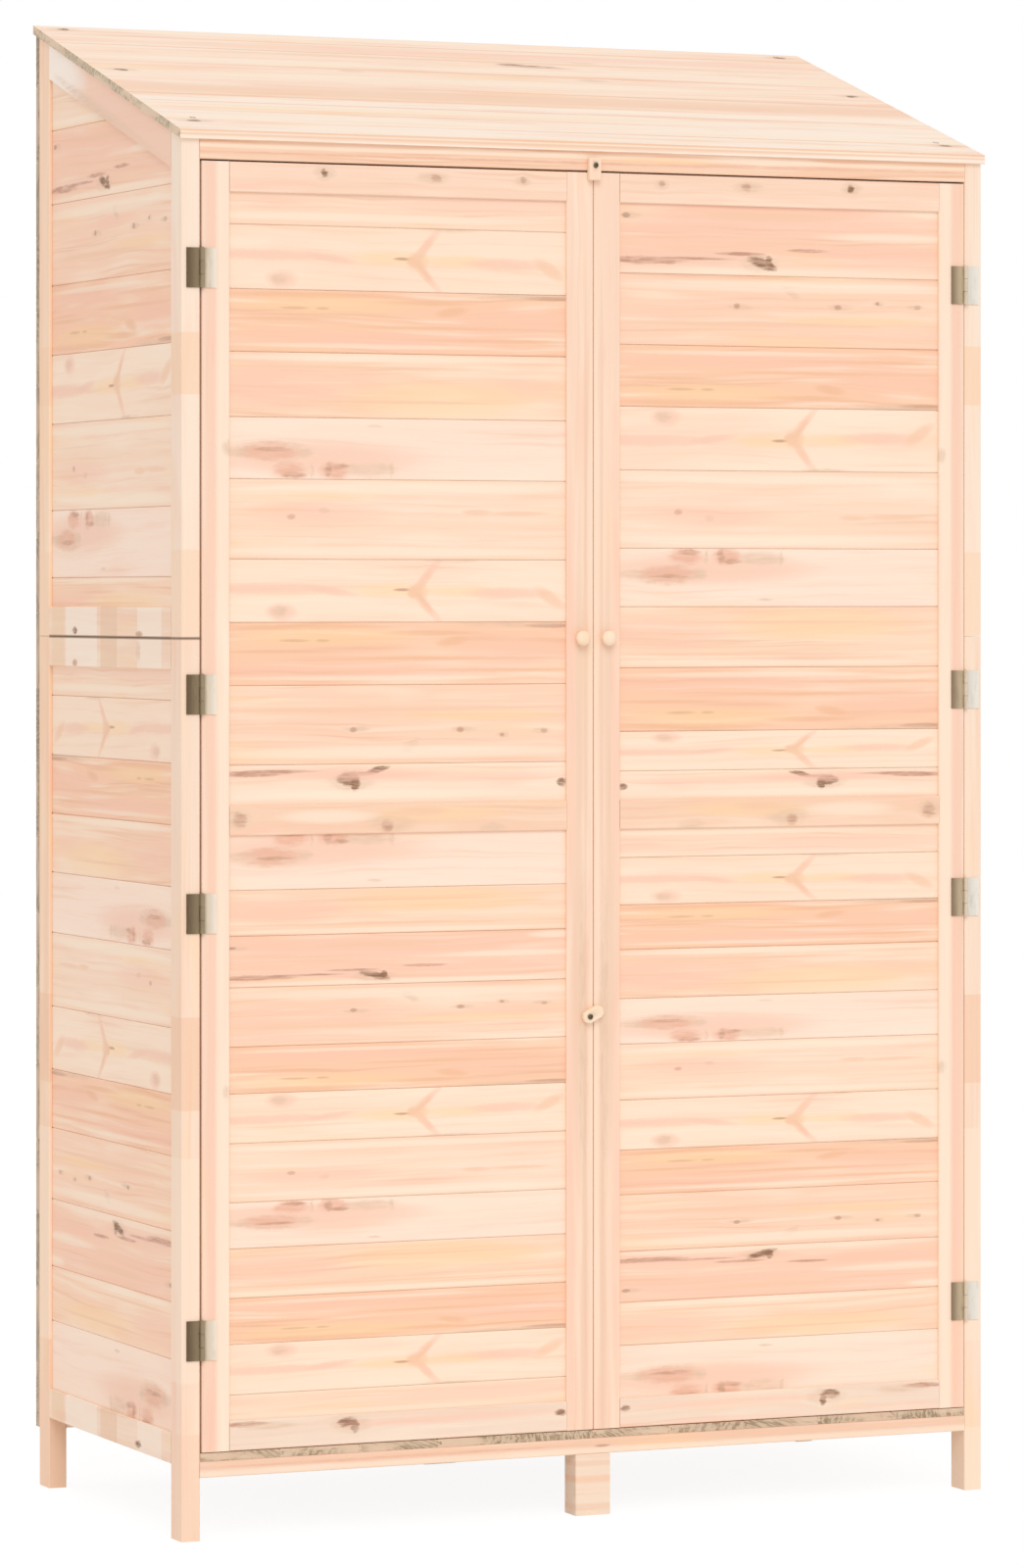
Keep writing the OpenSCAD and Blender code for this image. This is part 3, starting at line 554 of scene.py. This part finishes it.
def board_rows(node, face_axis, outward, run_axis, row_axis):
    """Lower and upper edge of each board, from the top down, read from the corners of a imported
    solid that lie both on its outer face and on its far end. Between two boards those corners
    stand back from the joint by the chamfer."""
    chamfer, apart = 0.0008, 0.0003
    corners = node_corners(node) * np.where(np.arange(3) == face_axis, outward, 1)
    at_edge = (corners[:, face_axis] > corners[:, face_axis].max() - NEAR) \
        & (corners[:, run_axis] > corners[:, run_axis].max() - NEAR)
    levels = np.sort(corners[at_edge, row_axis])
    levels = levels[np.concatenate([[True], np.diff(levels) > apart])]
    lows, highs = levels[0::2] - chamfer, levels[1::2] + chamfer
    lows[0], highs[-1] = levels[0], levels[-1]
    return list(zip(lows, highs))[::-1]


# The wall boards at the sides. They sit in grooves in the posts and rails, and the uppermost
# boards are sawn off along the slope of the roof.
AS_IS, TURNED, OVER, BOTH = (1, 1), (-1, 1), (1, -1), (-1, -1)
# the eight planks that follow one another down a wall or a door, or up it
DOWN = ("fork", "orange", "yellow", "red_knots", "pale", "fork", "orange", "pins")
UP = DOWN[::-1]
WALL_BOARD = 0.009


def run_of(way, *kinds, **shifts):
    """Planks for boards that are laid the same way, some of them shifted along, in mm."""
    return [(kind, shifts.get(kind, 0), way) for kind in kinds]


SIDE_UPPER = (run_of(TURNED, "pale", pale=-40) + run_of(AS_IS, "broken")
              + run_of(OVER, *UP[:5], red_knots=10) + run_of(AS_IS, "yellow"))
SIDE_LOWER = (run_of(AS_IS, "plain") + run_of(TURNED, *DOWN) + run_of(BOTH, "broken")
              + run_of(TURNED, "yellow", "red_knots"))


def saw_off(boards, point, upward):
    """Cuts away what lies beyond a plane and closes each cut with an end face."""
    shape = bmesh.new()
    shape.from_mesh(boards.data)
    parts = shape.verts[:] + shape.edges[:] + shape.faces[:]
    cut = bmesh.ops.bisect_plane(shape, geom=parts, plane_co=point, plane_no=upward,
                                 clear_outer=True)["geom_cut"]
    rims = [part for part in cut if isinstance(part, bmesh.types.BMEdge)]
    bmesh.ops.edgeloop_fill(shape, edges=rims, mat_nr=len(plank_slots))
    bmesh.ops.recalc_face_normals(shape, faces=shape.faces[:])
    shape.to_mesh(boards.data)
    shape.free()


for side, outward in (("left", -1), ("right", 1)):
    for part, kinds in (("upper", SIDE_UPPER), ("lower", SIDE_LOWER)):
        node = f"{side}_{part}_boards"
        low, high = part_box(node)

        def on_side(u, depth, height, face=low.x if outward < 0 else high.x, outward=outward):
            """Seen from outside, the run goes from left to right."""
            return face - outward * depth, outward * u, height

        boards = lay_boards(node, "shed", board_rows(node, 0, outward, 1, 2),
                            sorted((outward * low.y, outward * high.y)), kinds, on_side, WALL_BOARD)
        if part == "upper":
            corners = node_corners(node)
            front_top = corners[corners[:, 1] < low.y + NEAR, 2].max()
            saw_off(boards, (0.0, high.y, high.z), (0.0, front_top - high.z, high.y - low.y))


# The cross rails. The header above the doors, the strip that they close against, the two rails
# that carry the floor and the one under the roof run from post to post. A batten stiffens the
# back from inside.
finish_node("header", fir("header_fir", "x", "z", pale=tone(252, 220, 194),
                          warm=tone(247, 204, 172), seed=21.0, warmth=0.6, centre=1.569, lines=1.3,
                          marks=[("cream", 0, 4, 3000, 4), ("rust", -120, -3, 900, 3),
                                 ("rust", 330, -1, 420, 2.4), ("yellow", 90, 2, 130, 7)]))
finish_node("door_stop", fir("door_stop_fir", "x", "z", seed=22.0, centre=1.549))
for seed, node in ((23.0, "front_floor_rail"), (24.0, "rear_floor_rail")):
    finish_node(node, fir(f"{node}_fir", "x", "z", pale=tone(246, 213, 188),
                          warm=tone(241, 200, 173), seed=seed, warmth=0.6, centre=0.080,
                          lines=0.6, marks=[("cream", 0, -7, 4000, 11), ("flame", 0, 4, 3000, 3),
                                            ("rust", -250, 2, 500, 2.6), ("pin", 12, 0, 18, 3)]))
finish_node("rear_top_rail", fir("rear_top_rail_fir", "x", "z", seed=25.0, centre=1.71))
finish_node("back_batten", fir("back_batten_fir", "z", "x", seed=26.0))


# The middle feet. A short block under each floor rail, its grain lying level, with the broad
# bands of a board cut near the bark.
for seed, node in ((27.3, "front_centre_foot"), (28.6, "rear_centre_foot")):
    finish_node(node, fir(f"{node}_fir", "x", "z", pale=tone(246, 225, 203),
                          warm=tone(240, 210, 186), seed=seed, warmth=0.4, lines=0.5,
                          tints=0.4, centre=0.037, ends=0.0,
                          marks=[("flame", 0, 5, 300, 7), ("tan", 0, -27, 300, 7),
                                 ("tan", 0, 23, 300, 6)]))


# The floor and the back. Floor boards run from front to back, so their sawn ends show below the
# doors. The back boards lie level and their ends show at the sides.
FLOOR_KINDS = [("pale", 0, AS_IS), ("yellow", 40, TURNED), ("fork", -60, OVER),
               ("orange", 20, AS_IS), ("pins", -30, BOTH)]
BACK_KINDS = [("pale", 0, AS_IS), ("orange", 90, AS_IS), ("fork", -120, OVER),
              ("yellow", 60, TURNED), ("red_knots", -90, AS_IS), ("pins", 120, OVER),
              ("broken", 30, TURNED), ("plain", -150, AS_IS), ("streaked", 70, OVER)]
low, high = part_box("floor_boards")


def on_floor(u, depth, height, top=high.z):
    """The run goes from front to back, and a board's height from left to right."""
    return height, u, top - depth


lay_boards("floor_boards", "shed", board_rows("floor_boards", 2, 1, 1, 0), (low.y, high.y),
           FLOOR_KINDS, on_floor, high.z - low.z, ends="floor")
low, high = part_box("back_boards")


def on_back(u, depth, height, face=high.y):
    """Seen from behind, the run goes from left to right."""
    return -u, face - depth, height


back_laid = lay_boards("back_boards", "shed", board_rows("back_boards", 1, 1, 0, 2),
                       (low.x, high.x), BACK_KINDS, on_back, high.y - low.y)
roof_low, roof_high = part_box("roof_boards")
roof_corners = node_corners("roof_boards")
roof_front = roof_corners[roof_corners[:, 1] < roof_low.y + NEAR, 2].max()
fall = (roof_high.z - roof_front) / (roof_high.y - roof_low.y)
saw_off(back_laid, (0.0, high.y, high.z), (0.0, -fall, 1.0))


# The roof. Three wide boards run across the shed and are screwed to battens inside the side
# panels, the highest at the back. Their sawn ends show at the sides.
ROOF_JOINTS = (0.126, 0.360)
ROOF_BOARD = 0.010
roof_slope = math.atan(fall)
roof_length = (roof_high.y - roof_low.y) / math.cos(roof_slope)
front_edge = (ROOF_JOINTS[1] - roof_length) * MM / 2
ROOF_PLANKS = {
    "roof_rear": dict(warmth=0.5, lines=0.85, tints=1.25, marks=[
        ("cream", -100, 52, 1400, 16), ("pink", 120, -12, 900, 30), ("amber", 60, 20, 1300, 5),
        ("amber", -200, -30, 800, 6), ("black", 64, -58, 34, 9), ("black", 88, -61, 66, 4),
        ("grey", 170, -34, 30, 8), ("flame", 60, -46, 900, 12)]),
    "roof_middle": dict(warmth=0.5, lines=0.85, tints=1.25, marks=[
        ("streak", 92, 111, 100, 6), ("grey", 142, 46, 40, 14), ("grey", -172, 50, 30, 12),
        ("cream", 0, 84, 1400, 22), ("flame", 0, -76, 2200, 50), ("amber", 40, 60, 900, 7),
        ("amber", -300, -108, 900, 7), ("amber", 300, -40, 700, 6), ("cream", -100, 10, 900, 40)]),
    "roof_front": dict(warmth=0.16, lines=0.85, tints=1.1, marks=[
        ("yellow", -200, 30, 600, 20), ("amber", 60, 60, 1100, 5), ("amber", -120, 14, 700, 4),
        ("amber", 180, -40, 800, 5), ("cream", 0, 40, 1200, 20), ("cream", 0, -20, 2000, 24),
        ("amber", 0, front_edge - 0.4, 4000, 4), ("flame", -60, front_edge - 6, 900, 8),
        ("cream", 60, front_edge - 3.6, 1100, 2.6), ("tan", 0, front_edge - 6, 4000, 3),
        # the pin tone along the lower edge of the front face is painted shade: the shadow line
        # between the roof's front edge and the header below it
        ("pin", 0, front_edge - 14.6, 4000, 3.6)]),
}
screw_row = 478
for kind, level in (("roof_rear", 45), ("roof_middle", 12), ("roof_front", -43)):
    for side in (-1, 1):
        # a grey-brown stain runs along the grain from each screw
        ROOF_PLANKS[kind]["marks"] += [("grey", side * screw_row, level, 44, 14),
                                       ("black", side * screw_row, level, 16, 9)]
for kind, looks in ROOF_PLANKS.items():
    plank_firs[kind] = fir(f"fir_{kind}", on_planks=True, pale=tone(255, 236, 218),
                           warm=tone(254, 219, 192), late=tone(244, 196, 164), **looks)
plank_slots += list(ROOF_PLANKS)


def on_roof(u, depth, height):
    """The height is counted up the slope from the roof's rear edge, so it is below nothing."""
    return (u, roof_high.y + height * math.cos(roof_slope) + depth * math.sin(roof_slope),
            roof_high.z + height * math.sin(roof_slope) - depth * math.cos(roof_slope))


cuts = [0.0, *(-joint for joint in ROOF_JOINTS), -roof_length]
lay_boards("roof_boards", "shed", list(zip(cuts[1:], cuts[:-1])), (roof_low.x, roof_high.x),
           [(kind, 0, AS_IS) for kind in ROOF_PLANKS], on_roof, ROOF_BOARD, fall, ends="roof")
finish_node("roof_battens", fir("roof_battens_fir", "y", "z", seed=31.0))


# The door frames. Two stiles and three rails a door, grooved on their inner edges for the
# boards, with stub tenons. The stiles show a cream strip of sapwood along one edge.
half_way_up = 829
DOOR_FRAME = {
    "hinge_stile": (tone(250, 222, 199), tone(245, 209, 186), 0.55, [
        ("cream", half_way_up, 9, 9000, 17), ("pink", half_way_up, -6, 9000, 12),
        ("grey", 1232, 14, 16, 12), ("grey", 505, 14, 14, 12)]),
    "meeting_stile": (tone(252, 222, 198), tone(248, 211, 186), 0.5, [
        ("sap", 1130, 14.5, 620, 7), ("sap", 370, 14.5, 540, 7), ("tan", 940, 7, 420, 5),
        ("tan", 950, -1, 330, 9), ("tan", 380, 6.5, 500, 5), ("tan", 210, 5, 300, 8),
        ("tan", 1250, 7, 340, 4), ("tan", 620, -4, 380, 12), ("pink", 960, -11, 420, 10),
        ("pink", 330, -12, 460, 9), ("grey", 560, 4, 360, 10)]),
    "top_rail": (tone(252, 219, 195), tone(248, 210, 184), 0.4, [
        ("grey", -334, 7, 24, 15), ("black", -334, 7, 8, 9), ("grey", -200, 5, 36, 13),
        ("knot", -197, 5, 11, 8), ("grey", -88, 5, 18, 11), ("knot", -88, 6, 7, 7)]),
    "mid_rail": (tone(252, 219, 192), tone(247, 206, 177), 0.6, [
        ("grey", -440, 2, 30, 20), ("knot", -437, 0, 15, 16), ("grey", -252, -4, 50, 20),
        ("knot", -257, -8, 14, 13), ("grey", -126, -13, 30, 11), ("yellow", -190, 5, 150, 16),
        ("flame", -215, 8, 60, 10), ("cream", -330, 3, 110, 14)]),
    "bottom_rail": (tone(245, 223, 204), tone(241, 210, 186), 0.35, [
        ("grey", -302, 6, 44, 18), ("black", -306, 8, 22, 10), ("black", -297, 2, 9, 13),
        ("streak", -430, 12, 50, 6), ("grey", -400, 9, 60, 8), ("black", -41, 5, 12, 7),
        ("pink", -180, 6, 240, 10)]),
}
for side, mirror in (("left", 1), ("right", -1)):
    for part, (pale, warm, warmth, marks) in DOOR_FRAME.items():
        node = f"{side}_door_{part}"
        low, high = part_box(node)
        # marks run up a stile and along a rail, and the right door's are the left's mirrored
        if part.endswith("stile"):
            axes, way, lines, seed, middle = "zx", (1, mirror), 0.4, 41.0, (low.x + high.x) / 2
        else:
            axes, way, lines, seed, middle = "xz", (mirror, 1), 0.5, 51.0, (low.z + high.z) / 2
        finish_node(node, fir(
            f"{node}_fir", *axes, pale=pale, warm=warm, lines=lines,
            warmth=warmth, seed=seed + mirror + len(part), centre=middle,
            marks=[(kind, u * way[0], v * way[1], *size) for kind, u, v, *size in marks]))


# The door boards. Tongued and grooved boards let into the grooves of each door's frame, above
# and below its middle rail.
DOOR_PANELS = {
    "left_door_upper_boards": run_of(AS_IS, "plain", *DOWN, "streaked", fork=-4, red_knots=11),
    "left_door_lower_boards": (
        run_of(OVER, "red_knots", "yellow", red_knots=11) + run_of(AS_IS, "broken", broken=5)
        + run_of(OVER, *UP, fork=-4, red_knots=11) + run_of(AS_IS, "plain")),
    "right_door_upper_boards": (
        run_of(AS_IS, "broken") + run_of(OVER, *UP) + run_of(TURNED, "streaked")),
    "right_door_lower_boards": (
        run_of(OVER, "plain", plain=30) + run_of(AS_IS, *DOWN) + run_of(OVER, "broken")
        + run_of(AS_IS, "yellow", "red_knots")),
}
for node, kinds in DOOR_PANELS.items():
    low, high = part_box(node)

    def on_front(u, depth, height, face=low.y):
        """Seen from the front, the run goes from left to right."""
        return u, face + depth, height

    lay_boards(node, node[:node.index("_door") + 5], board_rows(node, 1, -1, 0, 2),
               (low.x, high.x), kinds, on_front, WALL_BOARD)


# The hinges. Eight surface butt hinges of yellow passivated steel, each a pin through three
# knuckles. The film is thick and brown on the left of each hinge. On its right the film is thin
# and pale, and a painted reflection of the white surroundings is mixed into the steel's colour.
def steel_film_with_painted_reflection(name, tones):
    """Dull steel whose colour changes across the hinge, from the brown film on the left to a pale
    tone on the right that holds a painted reflection of the white surroundings: (x in mm, colour)
    in order.
    """
    material, shader, start = new_material(name)
    place = start.node("TexCoord", output="Object")
    cloud = start.noise(place.stretched(160.0, 160.0, 45.0), 3.0, 0.6)
    rolled = start.noise(place.stretched(900.0, 900.0, 40.0), 2.0)
    x = place.split("x") * MM + (cloud - 0.5) * 2.5
    film = tones[0][1]
    for (left, _), (right, colour) in zip(tones, tones[1:]):
        film = x.ease(left, right).over(film, colour)
    film = (rolled.ease(0.5, 0.8) * 0.16).over(film, tone(196, 182, 150))
    film = (cloud.ease(0.5, 0.25) * 0.14).over(film, tone(96, 78, 54))
    film.feeds(shader, "Base Color")
    (0.40 + cloud * 0.25).feeds(shader, "Roughness")
    (0.6 - x.ease(tones[1][0], tones[-2][0]) * 0.4).feeds(shader, "Metallic")
    relief = start.node("Bump", {"Strength": 0.3, "Distance": 0.0002, "Height": rolled}, "Normal")
    relief.feeds(shader, "Normal")
    return material


# the pale tones towards the right of each hinge are partly the thin film and partly a painted
# reflection of the white surroundings
HINGE_FILM_AND_REFLECTION_TONES = {
    "left": [(-501.3, tone(104, 84, 60)), (-485.5, tone(146, 127, 99)),
             (-482.0, tone(160, 142, 113)), (-475.5, tone(222, 206, 184)),
             (-463.5, tone(242, 230, 214))],
    "right": [(467.2, tone(142, 121, 97)), (480.0, tone(196, 176, 146)),
              (486.5, tone(222, 206, 184)), (489.5, tone(222, 215, 203)),
              (503.0, tone(234, 228, 217))],
}
for side, tones in HINGE_FILM_AND_REFLECTION_TONES.items():
    steel = steel_film_with_painted_reflection(f"{side}_hinge_steel", tones)
    for part in ("post_leaves", "door_leaves", "hinge_pins"):
        finish_node(f"{side}_{part}", steel)


# The knobs. Each is turned from pale wood: a short neck, a full round head, and a dowel in the
# meeting stile.
def ring_skin(name, rings, looped=False):
    """A closed skin over rings of points, given as rows of sides of places. The ends are filled,
    or a looped skin joins its last ring to its first."""
    rows, sides = rings.shape[:2]
    row = np.arange(rows if looped else rows - 1)[:, None]
    side = np.arange(sides)[None, :]
    after, turned_on = (row + 1) % rows * sides, (side + 1) % sides
    quads = np.stack(np.broadcast_arrays(row * sides + side, row * sides + turned_on,
                                         after + turned_on, after + side), -1).reshape(-1, 4)
    faces = quads.tolist()
    if not looped:
        faces += [list(range(sides))[::-1], list(range((rows - 1) * sides, rows * sides))]
    mesh = bpy.data.meshes.new(name)
    mesh.from_pydata(rings.reshape(-1, 3).tolist(), [], faces)
    face_out(mesh)
    mesh.polygons.foreach_set("use_smooth", np.arange(len(faces)) < len(quads))
    piece = bpy.data.objects.new(name, mesh)
    bpy.context.scene.collection.objects.link(piece)
    return piece


def turned(outline, step, sides=64):
    """A surface of revolution as rings (x, y, way out), in metres: the outline's corners (way
    out, radius) in mm are joined by straight lines, with a ring at each step along them."""
    outline = np.array(outline) / MM
    walk = np.concatenate([[0.0], np.cumsum(np.hypot(*np.diff(outline, axis=0).T))])
    fine = np.unique(np.concatenate([np.arange(0.0, walk[-1], step / MM), walk]))
    out, radius = (np.interp(fine, walk, outline[:, i]) for i in (0, 1))
    turn = np.linspace(0.0, 2 * math.pi, sides, endpoint=False)
    return np.stack([np.outer(radius, np.cos(turn)), np.outer(radius, np.sin(turn)),
                     np.broadcast_to(out[:, None], (len(fine), sides))], -1)


def pale_wood(name, along="z", across="x"):
    return fir(name, along, across, pale=tone(251, 227, 200), warm=tone(249, 217, 187),
               late=tone(238, 204, 164), warmth=0.35, lines=0.3, seed=61.0, ends=0.0)


def knob_outline(wide, long):
    """A dowel 3 mm in radius, a foot two thirds as wide as the head, a neck half as wide, and
    the head: an ellipse that stands out by 0.57 + 0.43 sin(a) of the length and is cos(a) of
    the full radius wide, for a from -52 to 88 degrees."""
    head = np.radians(np.linspace(-52, 88, 24))
    return [(-10, 2.9), (-0.5, 3.0), (0.0, wide * 0.66), (1.0, wide * 0.66),
            (1.8, wide * 0.5), (2.6, wide * 0.5),
            *zip(long * (0.57 + 0.43 * np.sin(head)), wide * np.cos(head)), (long, 0.05)]


for side in ("left", "right"):
    node = f"{side}_door_knob"
    low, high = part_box(node)
    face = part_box(f"{side}_door_meeting_stile")[0].y
    x, y, out = turned(knob_outline((high.x - low.x) * MM / 2, (face - low.y) * MM),
                       0.8).transpose(2, 0, 1)
    knob = ring_skin(f"{side}_knob_turned", np.stack(
        [(low.x + high.x) / 2 + x, face - out, (low.z + high.z) / 2 + y], -1))
    knob.data.materials.append(pale_wood(f"{side}_knob_wood"))
    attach(knob, f"{side}_door")
    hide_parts(node)


# The screws. Six countersunk screws hold the roof down, and each turn button turns on a pan
# headed one. All have a cross recess and a dark film.
TOP_PIVOT, LOW_PIVOT = (0.0, 1.563437), (-0.006875, 0.578)
SHANK, HEAD = 1.75, 3.8
screw_steel, shader, start = new_material("screw_film")
cloud = start.noise(start.node("TexCoord", output="Object").stretched(500.0, 500.0, 500.0), 3.0)
cloud.ease(0.35, 0.7).over(tone(84, 76, 60), tone(124, 112, 86)).feeds(shader, "Base Color")
(0.35 + cloud * 0.25).feeds(shader, "Roughness")
shader.inputs["Metallic"].default_value = 0.7


def cross_sunk(rings, seat, reach, deep):
    """Sinks a cross into what lies above the seat: its arms are 0.9 mm wide and reach out from
    the middle, and their walls slope over 0.3 mm at the sides and 0.4 mm at the ends."""
    half_arm, side_slope, end_slope = 0.45, 0.3, 0.4
    near = np.minimum(abs(rings[..., 0]), abs(rings[..., 1])) * MM
    far = np.maximum(abs(rings[..., 0]), abs(rings[..., 1])) * MM
    inside = (np.clip((half_arm - near) / side_slope + 0.5, 0, 1)
              * np.clip((reach - far) / end_slope + 0.5, 0, 1))
    sunk = rings.copy()
    sunk[..., 2] -= np.where(rings[..., 2] > seat, inside * deep / MM, 0.0)
    return sunk


door_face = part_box("left_door_meeting_stile")[0].y
pan = cross_sunk(turned([(-13, 0.05), (-11, SHANK), (8.6, SHANK), (8.6, 3.0), (9.3, 3.0),
                         (9.9, 2.5), (10.2, 1.6), (10.2, 0.02)], 0.2, 48), 0.0095, 1.7, 0.9)
for node, body, (x, z) in (("top_button_screw", "shed", TOP_PIVOT),
                           ("low_button_screw", "left_door", LOW_PIVOT)):
    screw = ring_skin(f"{node}_turned", np.stack(
        [x + pan[..., 0], door_face - pan[..., 2], z + pan[..., 1]], -1))
    screw.data.materials.append(screw_steel)
    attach(screw, body)
    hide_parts(node)

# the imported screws' corners say where on the slope their three rows are
x, y, out = cross_sunk(turned([(-22, 0.05), (-19, SHANK), (-2.05, SHANK), (-0.1, HEAD),
                               (0, 3.7), (0, 0.02)], 0.25, 48), -NEAR, 2.2, 1.6).transpose(2, 0, 1)
heads = node_corners("roof_screws")
level = np.sort((heads[:, 1] - roof_high.y) * math.cos(roof_slope)
                + (heads[:, 2] - roof_high.z) * math.sin(roof_slope))
rows = [(row.min() + row.max()) / 2
        for row in np.split(level, np.flatnonzero(np.diff(level) > 0.03) + 1)]
aside = heads[:, 0].max() - HEAD / MM
for index, (side, row) in enumerate((side, row) for side in (-1, 1) for row in rows):
    screw = ring_skin(f"roof_screw_turned_{index + 1}",
                      np.stack(on_roof(side * aside + x, -out, row + y), -1))
    screw.data.materials.append(screw_steel)
    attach(screw, "shed")
    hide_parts("roof_screws")


# The turn buttons. Small blocks of pale wood with eased edges, one square on the header and one
# round ended on the left door, each on a single screw.
def block_rings(left, down, right, up, round_by, thick, bore):
    """Rings of a block with rounded corners and a bore, in mm: each ring is the outline drawn in
    by an inset at some way out, and the last two run round the bore."""
    turn = np.linspace(0.0, math.pi / 2, 10)
    corner = np.concatenate([quarter * math.pi / 2 + turn for quarter in range(4)])
    middle_x = np.repeat([right - round_by, left + round_by, left + round_by, right - round_by], 10)
    middle_y = np.repeat([up - round_by, up - round_by, down + round_by, down + round_by], 10)
    rings = []
    for out, inset in ((0, 1.2), (0, 0.6), (0.25, 0.2), (0.7, 0), (thick - 1.5, 0),
                       (thick - 0.9, 0.16), (thick - 0.4, 0.5), (thick - 0.1, 1.0),
                       (thick, 1.6), (thick, 2.1)):
        ring_x = middle_x + (round_by - inset) * np.cos(corner)
        ring_y = middle_y + (round_by - inset) * np.sin(corner)
        rings.append(np.stack([ring_x, ring_y, np.full(len(ring_x), float(out))], -1))
    around = np.arctan2(rings[0][:, 1], rings[0][:, 0])
    for out in (thick, 0.0):
        rings.append(np.stack([bore * np.cos(around), bore * np.sin(around),
                               np.full(len(around), out)], -1))
    return np.array(rings) / MM


play, thick, bore = 0.0003, 8, 1.85
for node, pivot, tilt, rings in (
        ("top_turn_button", TOP_PIVOT, 0.0, block_rings(-7.5, -17.5, 7.5, 9, 2.4, thick, bore)),
        ("low_turn_button", LOW_PIVOT, math.radians(27),
         block_rings(-8, -7.5, 19, 7.5, 7.5, thick, bore))):
    x, y, out = rings.transpose(2, 0, 1)
    button = ring_skin(f"{node}_rounded", np.stack(
        [pivot[0] + x * math.cos(tilt) - y * math.sin(tilt), door_face - play - out,
         pivot[1] + x * math.sin(tilt) + y * math.cos(tilt)], -1), looped=True)
    button.data.materials.append(pale_wood(f"{node}_wood", *("zx" if tilt == 0 else "xz")))
    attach(button, node.replace("_turn", ""))
    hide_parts(node)
